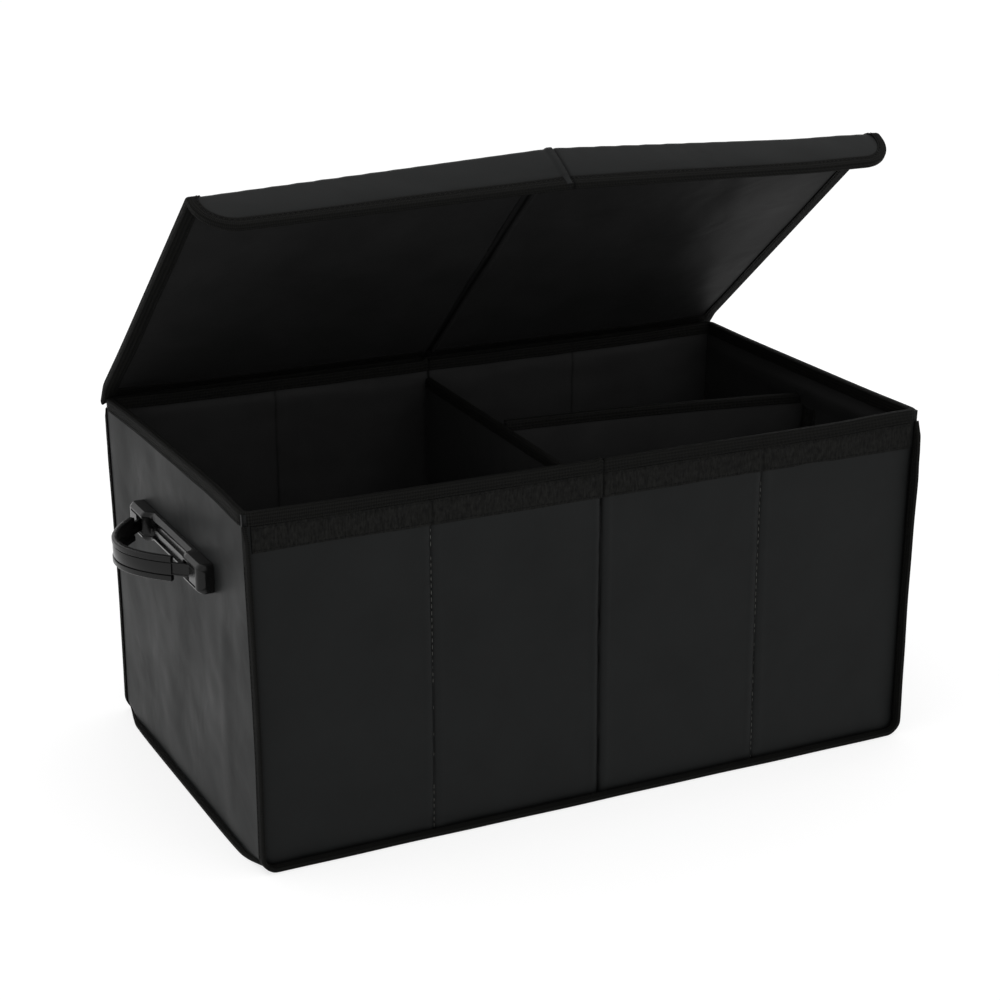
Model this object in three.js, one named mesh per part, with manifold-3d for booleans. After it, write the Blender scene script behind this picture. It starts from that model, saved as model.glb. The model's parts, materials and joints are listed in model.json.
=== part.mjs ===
// A foldable car boot organizer: a sewn box of coated cloth over stiff boards, with two dividers,
// a moulded carrying handle on each side, and a lid whose front flap grips the box by a hook strip.
// Millimetres, +Z up. The origin is on the floor under the middle of the box and the front faces -Y.
import * as THREE from 'three';
import { mergeVertices } from 'three/addons/utils/BufferGeometryUtils.js';
import Module from 'manifold-3d';

const wasm = await Module();
wasm.setup();

// Box, measured over its rim tape.
const BOX_WIDTH = 580;
const BOX_DEPTH = 330;
const BOX_HEIGHT = 285;
const CORNER_RADIUS = 12; // lower corners of the four walls

// Layers of every sewn panel, from the outside in.
const TAPE = 0.7; // woven binding tape, one layer
const COVER = 0.9; // coated outer cloth
const BOARD = 2.2; // stiffener board
const LINER = 0.9; // coated inner cloth
const FIT = 0.3; // clearance from one layer to the next

// Seams that divide the front, back and base into fields.
const CENTRE_GAP = 12; // between the boards at the centre fold
const QUARTER_GAP = 8; // between the boards at a quarter seam
const CENTRE_DIP = 1.9; // how far the cover sinks into the centre fold
const QUARTER_DIP = 1.0;
const LINER_DIP = 0.6;

// Bindings.
const RIM_TAPE_HEIGHT = 10;
const FRONT_FIN = 8; // how far the front and back seams stand out
const SIDE_FIN = 5; // the same for the seams under the sides
const SIDE_FIN_END = 13; // the side seams stop this far from the front and back walls
const FIN_TOP_DEPTH = 2; // the upright seams thin down to this under the rim
const FIN_TAPER_LOW = 44; // below the rim's top edge, where the thinning starts
const FIN_TAPER_HIGH = 31; // and where it ends

// Hook and loop.
const LOOP_HEIGHT = 20;
const LOOP_THICKNESS = 1.2;
const LOOP_INSET = 6; // from the ends of the front wall
const HOOK_HEIGHT = 16;
const HOOK_INSET = 40; // from the ends of the flap
const GRIP_CLEARANCE = 0.4; // from hook strip to loop strip with the lid shut

// Dividers.
const DIVIDER_DROP = 25; // divider tops below the rim
const DIVIDER_TAPE_HEIGHT = 8;
const PARTITION_Y = 12; // where the partition meets the divider
const PARTITION_SKEW = 3.2; // degrees, its right end stands nearer the front
const TAB_WIDTH = 20;
const TAB_THICKNESS = 1.4;
const TAB_MARGIN = 12; // tab ends above the floor and below the divider's top

// Lid and flap.
const LID_OPEN = 39; // degrees above level as stored
const LID_OVERHANG = 6; // lid past the rim at each side
const LID_TAPE_WIDTH = 12;
const FOLD_GAP = 1; // cloth edge to hinge line
const FOLD_BOARD_GAP = 5; // board edge to hinge line
const FLAP_BEND = 80; // degrees the flap is bent down from the lid
const FLAP_HEIGHT = 37;
const FLAP_RADIUS = 34;
const FLAP_TAPE_WIDTH = 8;
const HINGE_STRIP_LAP = 14; // how far a hinge strip laps over the lid or flap
const LID_STRIP_DROP = 24; // how far the lid's hinge strip reaches down the back wall

// Handles.
const HANDLE_Z = 209;
const HANDLE_LENGTH = 172;
const HANDLE_HEIGHT = 24;
const RAIL_HEIGHT = 6.7; // how far the middle of the base stands out
const BLOCK_HEIGHT = 13; // how far its end blocks stand out
const BLOCK_LENGTH = 41;
const BLOCK_RAMP = 6;
const BLOCK_NOSE = 6; // radius of the outer end
const BASE_CHAMFER = 3;
const RAIL_GROOVE = 0.9;
const RAIL_GROOVE_DEPTH = 0.7;
const RAIL_GROOVE_SPREAD = 5.5; // groove to the middle of the rail
const POCKET_ROOF = 2;
const POCKET_FLOOR = 1.9;
const SLOT_LEAD = 1; // how far the slot starts before the shoulder of the grip
const SLOT_LENGTH = 14;
const POCKET_LENGTH = 22;
const POCKET_SIDE = 6.3; // half its height
const GRIP_REACH = 51; // outer face of the arch above the cover
const GRIP_INSET = 34; // shoulders of the arch from the ends of the base
const GRIP_FALL = 28; // how much lower the arch's shoulders are than its middle
const GRIP_HEIGHT = 20;
const GRIP_CORE = 3.8;
const GRIP_RAIL = 5.2; // thickness along the two edges
const GRIP_RAIL_HEIGHT = 5.3;
const NECK_HEIGHT = 10;
const FOOT_THICKNESS = 2.4; // of the neck as well
const FOOT_LENGTH = 9;
const SCREW_INSET = 6.5; // from the ends of the base
const SCREW_RADIUS = 1.5;
const SCREW_HEAD_RADIUS = 3;
const SCREW_HEAD_DEPTH = 1.5;
const SCREW_REACH = 7; // into the end block, above the cover
const PLATE_HEIGHT = 18;
const PLATE_OVERRUN = 0; // how much longer the plate is than the base, at each end

// Faces worked out from the sizes above.
const PANEL = COVER + FIT + BOARD + FIT + LINER;
const EDGE = PANEL + 2 * (TAPE + FIT);
const WALL_X = BOX_WIDTH / 2 - TAPE - FIT; // outer face of the side covers
const WALL_Y = BOX_DEPTH / 2 - TAPE - FIT; // outer face of the front and back covers
const FLOOR_Z = TAPE + FIT; // underside of the base cover
const WALL_TOP = BOX_HEIGHT - TAPE - FIT;
const RIM_LOW = BOX_HEIGHT - RIM_TAPE_HEIGHT;
const SEAM = 2 * COVER + FIT; // two cloth edges together
const FIN = SEAM + 2 * (TAPE + FIT); // the same in its binding
const TO_BOARD = COVER + FIT; // outer face to board
const TO_LINER = TO_BOARD + BOARD + FIT;
const INNER_X = WALL_X - PANEL;
const INNER_Y = WALL_Y - PANEL;
const INNER_Z = FLOOR_Z + PANEL;
const QUARTER = WALL_X / 2;
const AXIS_Y = BOX_DEPTH / 2 + FIT + TAPE + FIT;
const AXIS_Z = BOX_HEIGHT + FIT;
const HOOK_FACE = TAPE + FIT - FIT - LOOP_THICKNESS; // hook strip's face from the flap's inner face
const FLAP_Y = -(WALL_Y + FIT + LOOP_THICKNESS + GRIP_CLEARANCE - Math.min(HOOK_FACE, 0));
const LID_DEPTH = AXIS_Y - FLAP_Y;
const LID_HALF = BOX_WIDTH / 2 + LID_OVERHANG;
const DIVIDER_TOP = BOX_HEIGHT - DIVIDER_DROP;
const SLEEVE = BOARD + 2 * (FIT + COVER);
const CREST = SLEEVE + 2 * (FIT + TAPE); // a divider over its tape
const HANDLE_HALF = HANDLE_LENGTH / 2;
const BLOCK_START = HANDLE_HALF - BLOCK_LENGTH;
const SHOULDER = HANDLE_HALF - GRIP_INSET;
const PLATE_LENGTH = HANDLE_LENGTH + 2 * PLATE_OVERRUN;
const POCKET_START = SHOULDER - SLOT_LEAD;
const SCREW_PLACE = HANDLE_HALF - SCREW_INSET;

const ARC_STEPS = 8;
const ARCH_STEPS = 20;

const degrees = (angle) => (angle * Math.PI) / 180;

function finish(name, colour, roughness, metalness = 0) {
  const material = new THREE.MeshStandardMaterial({ color: colour, roughness, metalness });
  material.name = name;
  return material;
}

const outerCloth = finish('outer_cloth', 0x2b2c2c, 0.5);
const innerCloth = finish('inner_cloth', 0x1c1c1c, 0.55);
const board = finish('board', 0x8f7c62, 0.9);
const tape = finish('tape', 0x1a1918, 0.85);
const hookLoop = finish('hook_loop', 0x1e1d1c, 0.95);
const plastic = finish('plastic', 0x161616, 0.35);
const steel = finish('steel', 0x9a9a9a, 0.35, 0.9);

// Solids.

function solidOf(geometry) {
  const bare = geometry.clone();
  bare.deleteAttribute('normal');
  bare.deleteAttribute('uv');
  const merged = mergeVertices(bare, 1e-4);
  return new wasm.Manifold(
    new wasm.Mesh({
      numProp: 3,
      vertProperties: new Float32Array(merged.attributes.position.array),
      triVerts: new Uint32Array(merged.index.array),
    }),
  );
}

function geometryOf(solid) {
  const mesh = solid.getMesh();
  const geometry = new THREE.BufferGeometry();
  geometry.setAttribute('position', new THREE.BufferAttribute(new Float32Array(mesh.vertProperties), 3));
  geometry.setIndex(new THREE.BufferAttribute(new Uint32Array(mesh.triVerts), 1));
  return geometry;
}

function cut(base, ...tools) {
  let solid = solidOf(base);
  for (const tool of tools) solid = solid.subtract(solidOf(tool));
  return geometryOf(solid);
}

function join(base, ...others) {
  let solid = solidOf(base);
  for (const other of others) solid = solid.add(solidOf(other));
  return geometryOf(solid);
}

function common(first, second) {
  return geometryOf(solidOf(first).intersect(solidOf(second)));
}

function block(x, y, z) {
  const geometry = new THREE.BoxGeometry(x[1] - x[0], y[1] - y[0], z[1] - z[0]);
  return geometry.translate((x[0] + x[1]) / 2, (y[0] + y[1]) / 2, (z[0] + z[1]) / 2);
}

function extruded(shape, from, to) {
  return new THREE.ExtrudeGeometry(shape, {
    depth: to - from,
    bevelEnabled: false,
    curveSegments: ARC_STEPS,
  }).translate(0, 0, from);
}

// A shape drawn in X and Z, made thick along Y.
function alongY(shape, from, to) {
  return extruded(shape, -to, -from).rotateX(Math.PI / 2);
}

// A shape drawn in Y and Z, made thick along X.
function alongX(shape, from, to) {
  const turn = new THREE.Matrix4().makeBasis(
    new THREE.Vector3(0, 1, 0),
    new THREE.Vector3(0, 0, 1),
    new THREE.Vector3(1, 0, 0),
  );
  return extruded(shape, from, to).applyMatrix4(turn);
}

function polygon(points) {
  return new THREE.Shape(points.map(([x, y]) => new THREE.Vector2(x, y)));
}

// A rectangle whose two lower corners may be round.
function panelShape(left, right, low, high, leftRadius = 0, rightRadius = leftRadius) {
  const shape = new THREE.Shape();
  const corner = (x, radius, from) => {
    if (radius) shape.absarc(x, low + radius, radius, from, from + Math.PI / 2, false);
  };
  shape.moveTo(left, high);
  shape.lineTo(left, low + leftRadius);
  corner(left + leftRadius, leftRadius, Math.PI);
  shape.lineTo(right - rightRadius, low);
  corner(right - rightRadius, rightRadius, 1.5 * Math.PI);
  shape.lineTo(right, high);
  return shape;
}

// A rectangle with four round corners, centred on the origin.
function roundedShape(halfWidth, halfHeight, radius) {
  const shape = new THREE.Shape();
  const [x, y] = [halfWidth - radius, halfHeight - radius];
  shape.absarc(x, y, radius, 0, Math.PI / 2, false);
  shape.absarc(-x, y, radius, Math.PI / 2, Math.PI, false);
  shape.absarc(-x, -y, radius, Math.PI, 1.5 * Math.PI, false);
  shape.absarc(x, -y, radius, 1.5 * Math.PI, 2 * Math.PI, false);
  return shape;
}

// A strip of even thickness that follows a path, both sides mitred at each bend.
function ribbonShape(path, left, right) {
  const sides = [[], []];
  path.forEach((point, i) => {
    const before = path[Math.max(i - 1, 0)];
    const after = path[Math.min(i + 1, path.length - 1)];
    const arriving = new THREE.Vector2(point[0] - before[0], point[1] - before[1]).normalize();
    const leaving = new THREE.Vector2(after[0] - point[0], after[1] - point[1]).normalize();
    if (i === 0) arriving.copy(leaving);
    if (i === path.length - 1) leaving.copy(arriving);
    const across = new THREE.Vector2(-arriving.y - leaving.y, arriving.x + leaving.x).normalize();
    const stretch = 1 / across.dot(new THREE.Vector2(-arriving.y, arriving.x));
    sides[0].push([point[0] + across.x * left * stretch, point[1] + across.y * left * stretch]);
    sides[1].push([point[0] - across.x * right * stretch, point[1] - across.y * right * stretch]);
  });
  return polygon([...sides[0], ...sides[1].reverse()]);
}

function mesh(name, geometry, material) {
  const part = new THREE.Mesh(geometry, material);
  part.name = name;
  return part;
}

// Seams: the three lines where a long cloth panel is sewn down between its boards.

function seamDips(centreDip, quarterDip) {
  return [
    { at: -QUARTER, half: QUARTER_GAP / 2, dip: quarterDip },
    { at: 0, half: CENTRE_GAP / 2, dip: centreDip },
    { at: QUARTER, half: QUARTER_GAP / 2, dip: quarterDip },
  ];
}

// The plan of a cloth sheet that is flat over the boards and sinks inward at each seam.
// The outer face lies at 0 and inward is positive; a sinking face is a half wave.
function seamedPath(halfWidth, dips) {
  const path = [[-halfWidth, 0]];
  for (const { at, half, dip } of dips) {
    for (let i = 0; i <= ARC_STEPS; i += 1) {
      const u = -1 + (2 * i) / ARC_STEPS;
      path.push([at + u * half, (dip * (1 + Math.cos(u * Math.PI))) / 2]);
    }
  }
  path.push([halfWidth, 0]);
  return path;
}

// The path run over again at one even depth, so that the sheet keeps its thickness.
function seamedSheet(halfWidth, dips, thickness) {
  const outer = seamedPath(halfWidth, dips);
  const inner = outer.map(([x, y]) => [x, y + thickness]);
  return polygon([...outer, ...inner.reverse()]);
}

// Front and back walls. Each is drawn as the front and turned round for the back.

function wallCover() {
  const sheet = extruded(seamedSheet(WALL_X, seamDips(CENTRE_DIP, QUARTER_DIP), COVER), FLOOR_Z, WALL_TOP);
  sheet.translate(0, -WALL_Y, 0);
  const outline = panelShape(-WALL_X, WALL_X, FLOOR_Z, WALL_TOP, CORNER_RADIUS);
  const trimmed = common(sheet, alongY(outline, -WALL_Y - COVER, -WALL_Y + 2 * COVER + CENTRE_DIP));
  const seamTop = RIM_LOW - FIT;
  const ring = panelShape(-WALL_X, WALL_X, FLOOR_Z, seamTop, CORNER_RADIUS);
  const hollow = panelShape(
    -WALL_X + SEAM,
    WALL_X - SEAM,
    FLOOR_Z + SEAM,
    seamTop + SEAM,
    CORNER_RADIUS - SEAM,
  );
  const reach = FRONT_FIN - TAPE - FIT;
  const allowance = cut(
    alongY(ring, -WALL_Y - reach, -WALL_Y + COVER / 2),
    alongY(hollow, -WALL_Y - FRONT_FIN, -WALL_Y + COVER),
    finTaper(-TAPE - FIT),
  );
  return join(trimmed, allowance);
}

// What is cut away so that an upright seam thins down under the rim.
function finTaper(offset) {
  const face = -WALL_Y - FRONT_FIN;
  const thin = -WALL_Y - FIN_TOP_DEPTH;
  const far = face - FRONT_FIN;
  const wedge = polygon([
    [face - offset, BOX_HEIGHT - FIN_TAPER_LOW],
    [thin - offset, BOX_HEIGHT - FIN_TAPER_HIGH],
    [thin - offset, BOX_HEIGHT],
    [far, BOX_HEIGHT],
    [far, BOX_HEIGHT - FIN_TAPER_LOW],
  ]);
  return alongX(wedge, -BOX_WIDTH, BOX_WIDTH);
}

// The tape folded round the seam that runs down one side, along the floor and up the other.
function wallBinding() {
  const half = WALL_X + TAPE + FIT;
  const top = RIM_LOW - FIT;
  const radius = CORNER_RADIUS + TAPE + FIT;
  const face = -WALL_Y - FRONT_FIN;
  const outline = (inset, height) =>
    panelShape(-half + inset, half - inset, inset, height, Math.max(radius - inset, 1));
  const folded = cut(
    alongY(outline(0, top), face, -WALL_Y - FIT),
    alongY(outline(FIN, top + FIN), face - FIN, -WALL_Y),
    finTaper(0),
  );
  const slot = cut(
    alongY(outline(TAPE, top + TAPE), face + TAPE, -WALL_Y),
    alongY(outline(FIN - TAPE, top + FIN), face - FIN, -WALL_Y + FIN),
    finTaper(-TAPE),
  );
  return cut(folded, slot);
}

function fieldEdges() {
  const half = WALL_X - COVER - FIT;
  return [
    [-half, -QUARTER - QUARTER_GAP / 2],
    [-QUARTER + QUARTER_GAP / 2, -CENTRE_GAP / 2],
    [CENTRE_GAP / 2, QUARTER - QUARTER_GAP / 2],
    [QUARTER + QUARTER_GAP / 2, half],
  ];
}

function wallBoards() {
  const low = FLOOR_Z + TO_BOARD;
  const corner = CORNER_RADIUS - TO_BOARD;
  return fieldEdges().map(([left, right], i) => {
    const shape = panelShape(left, right, low, WALL_TOP, i === 0 ? corner : 0, i === 3 ? corner : 0);
    return alongY(shape, -WALL_Y + TO_BOARD, -WALL_Y + TO_BOARD + BOARD);
  });
}

function wallLiner() {
  const half = WALL_X - TO_LINER;
  const sheet = seamedSheet(half, seamDips(LINER_DIP, LINER_DIP), LINER);
  const upright = extruded(sheet, 0, WALL_TOP - FLOOR_Z - TO_LINER);
  // The liner sinks outward at its seams, so the sheet is turned to face the other way.
  return upright.rotateZ(Math.PI).translate(0, -INNER_Y, FLOOR_Z + TO_LINER);
}

function longWalls() {
  const walls = new THREE.Group();
  for (const [side, turn] of [
    ['front', 0],
    ['back', Math.PI],
  ]) {
    walls.add(mesh(`${side}_cover`, wallCover().rotateZ(turn), outerCloth));
    wallBoards().forEach((geometry, i) => {
      walls.add(mesh(`${side}_board_${i + 1}`, geometry.rotateZ(turn), board));
    });
    walls.add(mesh(`${side}_liner`, wallLiner().rotateZ(turn), innerCloth));
    walls.add(mesh(`${side}_binding`, wallBinding().rotateZ(turn), tape));
  }
  return walls;
}

// Side walls. Each is drawn as the right one and turned round for the left.

const SIDE_Y = WALL_Y - COVER - FIT; // half the length of a side cover
const SIDE_SEAM_Y = WALL_Y - SIDE_FIN_END;
const SIDE_COVER_LOW = FLOOR_Z + COVER + FIT;
const SIDE_SEAM_X = WALL_X + SIDE_FIN - TAPE - FIT;

function screwHole(radius, from, to, y) {
  const hole = new THREE.CylinderGeometry(radius, radius, to - from, 2 * ARC_STEPS);
  return hole.rotateZ(Math.PI / 2).translate((from + to) / 2, y, HANDLE_Z);
}

function sideCover() {
  const outline = panelShape(-SIDE_Y, SIDE_Y, SIDE_COVER_LOW, WALL_TOP, CORNER_RADIUS);
  const allowance = block(
    [WALL_X - COVER / 2, SIDE_SEAM_X],
    [-SIDE_SEAM_Y + TAPE + FIT, SIDE_SEAM_Y - TAPE - FIT],
    [SIDE_COVER_LOW, SIDE_COVER_LOW + COVER],
  );
  const sheet = join(alongX(outline, WALL_X - COVER, WALL_X), allowance);
  const holes = [-1, 1].map((end) =>
    screwHole(SCREW_RADIUS + FIT, WALL_X - 2 * COVER, WALL_X + COVER, end * SCREW_PLACE),
  );
  return cut(sheet, ...holes);
}

function sideBoard() {
  const half = SIDE_Y - TO_BOARD - BOARD + COVER;
  const low = SIDE_COVER_LOW + BOARD + FIT;
  const outline = panelShape(-half, half, low, WALL_TOP, CORNER_RADIUS - TO_BOARD);
  const window = block(
    [WALL_X - PANEL, WALL_X],
    [-PLATE_LENGTH / 2 - FIT, PLATE_LENGTH / 2 + FIT],
    [HANDLE_Z - PLATE_HEIGHT / 2 - FIT, HANDLE_Z + PLATE_HEIGHT / 2 + FIT],
  );
  return cut(alongX(outline, WALL_X - TO_BOARD - BOARD, WALL_X - TO_BOARD), window);
}

function sideLiner() {
  const half = INNER_Y - FIT;
  return block([INNER_X, INNER_X + LINER], [-half, half], [FLOOR_Z + TO_LINER, WALL_TOP]);
}

// The tape round the seam that runs along the foot of a side.
function sideBinding() {
  const outer = WALL_X + SIDE_FIN;
  const strip = new THREE.Shape();
  const radius = SIDE_FIN - FIT - 0.5;
  strip.moveTo(WALL_X + FIT, -SIDE_SEAM_Y);
  strip.absarc(outer - radius, -SIDE_SEAM_Y + radius, radius, 1.5 * Math.PI, 2 * Math.PI, false);
  strip.absarc(outer - radius, SIDE_SEAM_Y - radius, radius, 0, Math.PI / 2, false);
  strip.lineTo(WALL_X + FIT, SIDE_SEAM_Y);
  const slot = block(
    [WALL_X, outer - TAPE],
    [-SIDE_SEAM_Y + TAPE, SIDE_SEAM_Y - TAPE],
    [TAPE, FIN - TAPE],
  );
  return cut(extruded(strip, 0, FIN), slot);
}

function sideWalls() {
  const walls = new THREE.Group();
  for (const [side, turn] of [
    ['left', Math.PI],
    ['right', 0],
  ]) {
    walls.add(mesh(`${side}_cover`, sideCover().rotateZ(turn), outerCloth));
    walls.add(mesh(`${side}_board`, sideBoard().rotateZ(turn), board));
    walls.add(mesh(`${side}_liner`, sideLiner().rotateZ(turn), innerCloth));
    walls.add(mesh(`${side}_foot_binding`, sideBinding().rotateZ(turn), tape));
  }
  return walls;
}

// Base: two boards with a fold between them.

// The cloth's edges follow the walls where they sink into a seam, and a tongue runs out on each side.
function basePlan() {
  const tongue = SIDE_SEAM_Y - TAPE - FIT;
  const corner = [WALL_X - CORNER_RADIUS, SIDE_Y - CORNER_RADIUS];
  const edge = seamedPath(corner[0], seamDips(CENTRE_DIP, QUARTER_DIP)).slice(1, -1);
  const shape = new THREE.Shape();
  shape.moveTo(-corner[0], -SIDE_Y);
  for (const [x, dip] of edge) shape.lineTo(x, -SIDE_Y + dip);
  shape.absarc(corner[0], -corner[1], CORNER_RADIUS, 1.5 * Math.PI, 2 * Math.PI, false);
  shape.lineTo(WALL_X, -tongue);
  shape.lineTo(SIDE_SEAM_X, -tongue);
  shape.lineTo(SIDE_SEAM_X, tongue);
  shape.lineTo(WALL_X, tongue);
  shape.absarc(corner[0], corner[1], CORNER_RADIUS, 0, Math.PI / 2, false);
  for (const [x, dip] of edge) shape.lineTo(-x, SIDE_Y - dip);
  shape.absarc(-corner[0], corner[1], CORNER_RADIUS, Math.PI / 2, Math.PI, false);
  shape.lineTo(-WALL_X, tongue);
  shape.lineTo(-SIDE_SEAM_X, tongue);
  shape.lineTo(-SIDE_SEAM_X, -tongue);
  shape.lineTo(-WALL_X, -tongue);
  shape.absarc(-corner[0], -corner[1], CORNER_RADIUS, Math.PI, 1.5 * Math.PI, false);
  return shape;
}

function base() {
  const group = new THREE.Group();
  group.add(mesh('base_cover', extruded(basePlan(), FLOOR_Z, FLOOR_Z + COVER), outerCloth));
  const reach = WALL_X - TO_BOARD - BOARD - FIT;
  const depth = WALL_Y - TO_BOARD - BOARD - FIT;
  const low = FLOOR_Z + TO_BOARD;
  for (const [side, x] of [
    ['left', [-reach, -CENTRE_GAP / 2]],
    ['right', [CENTRE_GAP / 2, reach]],
  ]) {
    group.add(mesh(`base_board_${side}`, block(x, [-depth, depth], [low, low + BOARD]), board));
  }
  const linerZ = [FLOOR_Z + TO_LINER, INNER_Z];
  const linerX = INNER_X - FIT;
  const linerY = INNER_Y - FIT;
  group.add(mesh('base_liner', block([-linerX, linerX], [-linerY, linerY], linerZ), innerCloth));
  return group;
}

// Rim: one tape folded over the top of all four walls.

function rimBinding() {
  const [x, y] = [BOX_WIDTH / 2, BOX_DEPTH / 2];
  const ring = (outset, inset, low, high) =>
    cut(
      block([-x + outset, x - outset], [-y + outset, y - outset], [low, high]),
      block([-x + inset, x - inset], [-y + inset, y - inset], [low - 1, high + 1]),
    );
  return cut(ring(0, EDGE, RIM_LOW, BOX_HEIGHT), ring(TAPE, EDGE - TAPE, RIM_LOW - 1, BOX_HEIGHT - TAPE));
}

function loopStrip() {
  const half = WALL_X - LOOP_INSET;
  const high = RIM_LOW - FIT;
  const face = -WALL_Y - FIT;
  return block([-half, half], [face - LOOP_THICKNESS, face], [high - LOOP_HEIGHT, high]);
}

// Dividers: a board in a cloth sleeve with a tape over its top edge. Drawn along X.

function sleeveShape(thickness, wall, low, high) {
  const half = thickness / 2;
  return polygon([
    [-half, low],
    [-half, high],
    [half, high],
    [half, low],
    [half - wall, low],
    [half - wall, high - wall],
    [-half + wall, high - wall],
    [-half + wall, low],
  ]);
}

function dividerPieces(name, from, to) {
  const group = new THREE.Group();
  const low = INNER_Z + FIT;
  const high = DIVIDER_TOP - TAPE - FIT;
  const boardTop = high - COVER - FIT;
  const plate = block([from + FIT, to - FIT], [-BOARD / 2, BOARD / 2], [low + FIT, boardTop]);
  group.add(mesh(`${name}_board`, plate, board));
  const sleeve = alongX(sleeveShape(SLEEVE, COVER, low, high), from, to);
  group.add(mesh(`${name}_sleeve`, sleeve, innerCloth));
  const crest = alongX(sleeveShape(CREST, TAPE, DIVIDER_TOP - DIVIDER_TAPE_HEIGHT, DIVIDER_TOP), from, to);
  group.add(mesh(`${name}_binding`, crest, tape));
  return group;
}

// The divider runs from the front wall to the back wall at the centre fold.
function divider() {
  const half = INNER_Y - FIT;
  const group = dividerPieces('divider', -half, half);
  group.rotation.z = Math.PI / 2;
  return group;
}

// The partition runs from the divider to the right wall, a little askew, held by hook tabs.
function partition() {
  const group = new THREE.Group();
  const angle = degrees(-PARTITION_SKEW);
  const slack = (CREST / 2) * Math.tan(degrees(PARTITION_SKEW));
  const start = CREST / 2 + FIT + slack;
  const wallX = INNER_X - FIT - slack;
  const panel = dividerPieces('partition', start, wallX / Math.cos(angle) - 2 * FIT);
  panel.position.set(0, PARTITION_Y, 0);
  panel.rotation.z = angle;
  group.add(panel);
  const tabZ = [INNER_Z + TAB_MARGIN, DIVIDER_TOP - TAB_MARGIN];
  const beside = CREST / 2 + FIT + 1;
  const tab = (name, x, y) =>
    mesh(name, block([x - TAB_THICKNESS / 2, x + TAB_THICKNESS / 2], [y, y + TAB_WIDTH], tabZ), hookLoop);
  const nearX = SLEEVE / 2 + FIT + TAB_THICKNESS / 2;
  const farX = INNER_X - FIT - TAB_THICKNESS / 2;
  const farY = PARTITION_Y + farX * Math.tan(angle);
  group.add(tab('partition_tab_divider', nearX, PARTITION_Y + beside));
  group.add(tab('partition_tab_wall', farX, farY - beside - TAB_WIDTH));
  return group;
}

// Lid, drawn shut: the hinge line is the origin, the lid runs towards -Y and its underside is at 0.

const LID_LINER_Z = TAPE + FIT;
const LID_BOARD_Z = LID_LINER_Z + LINER + FIT;
const LID_COVER_Z = LID_BOARD_Z + BOARD + FIT;
const STRIP_IN = LID_COVER_Z + COVER + FIT; // a hinge strip lies over the cover, like the tape

function lidSheet(z, thickness) {
  const half = LID_HALF - TAPE - FIT;
  return block([-half, half], [-LID_DEPTH + FOLD_GAP, -TAPE - FIT], [z, z + thickness]);
}

function lidBinding() {
  const half = LID_HALF;
  const front = -LID_DEPTH + FOLD_GAP;
  const around = block([-half, half], [front, 0], [0, EDGE]);
  const open = block(
    [-half + LID_TAPE_WIDTH, half - LID_TAPE_WIDTH],
    [front - 1, -LID_TAPE_WIDTH],
    [-1, EDGE + 1],
  );
  const slot = block([-half + TAPE, half - TAPE], [front - 1, -TAPE], [TAPE, EDGE - TAPE]);
  return cut(around, open, slot);
}

function lidBoards() {
  const outer = LID_HALF - TAPE - 2 * FIT;
  const y = [-LID_DEPTH + FOLD_BOARD_GAP, -FOLD_BOARD_GAP];
  const z = [LID_BOARD_Z, LID_BOARD_Z + BOARD];
  return [
    mesh('lid_board_left', block([-outer, -CENTRE_GAP / 2], y, z), board),
    mesh('lid_board_right', block([CENTRE_GAP / 2, outer], y, z), board),
  ];
}

// Cloth that bridges the fold between lid and flap, as bent at rest.
function flapHingeStrip() {
  const middle = STRIP_IN + TAPE / 2;
  const path = [[HINGE_STRIP_LAP, middle]];
  for (let i = 0; i <= ARC_STEPS; i += 1) {
    const turn = degrees((FLAP_BEND * i) / ARC_STEPS);
    path.push([-middle * Math.sin(turn), middle * Math.cos(turn)]);
  }
  const bend = degrees(FLAP_BEND);
  path.push([
    -middle * Math.sin(bend) - HINGE_STRIP_LAP * Math.cos(bend),
    middle * Math.cos(bend) - HINGE_STRIP_LAP * Math.sin(bend),
  ]);
  const half = LID_HALF - LID_TAPE_WIDTH - FIT;
  const strip = alongX(ribbonShape(path, TAPE / 2, TAPE / 2), -half, half);
  return strip.translate(0, -LID_DEPTH, 0);
}

// Flap, drawn straight on from the lid: the fold is the origin, it runs towards -Y.

function flapShape(inset, edge) {
  const half = LID_HALF - inset;
  return panelShape(-half, half, -FLAP_HEIGHT + inset, -edge, Math.max(FLAP_RADIUS - inset, 1));
}

function flapBinding() {
  const tapeEdge = extruded(flapShape(0, FOLD_GAP), 0, EDGE);
  const open = extruded(flapShape(FLAP_TAPE_WIDTH, -1), -1, EDGE + 1);
  const slot = extruded(flapShape(TAPE, -1), TAPE, EDGE - TAPE);
  return cut(tapeEdge, open, slot);
}

function flapBoards() {
  const inset = FLAP_TAPE_WIDTH + FIT;
  const shape = extruded(flapShape(inset, -1), LID_BOARD_Z, LID_BOARD_Z + BOARD);
  const far = BOX_WIDTH;
  const half = (side) => common(shape, block(side, [-far, -FOLD_BOARD_GAP], [-far, far]));
  return [
    mesh('flap_board_left', half([-far, -CENTRE_GAP / 2]), board),
    mesh('flap_board_right', half([CENTRE_GAP / 2, far]), board),
  ];
}

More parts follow.
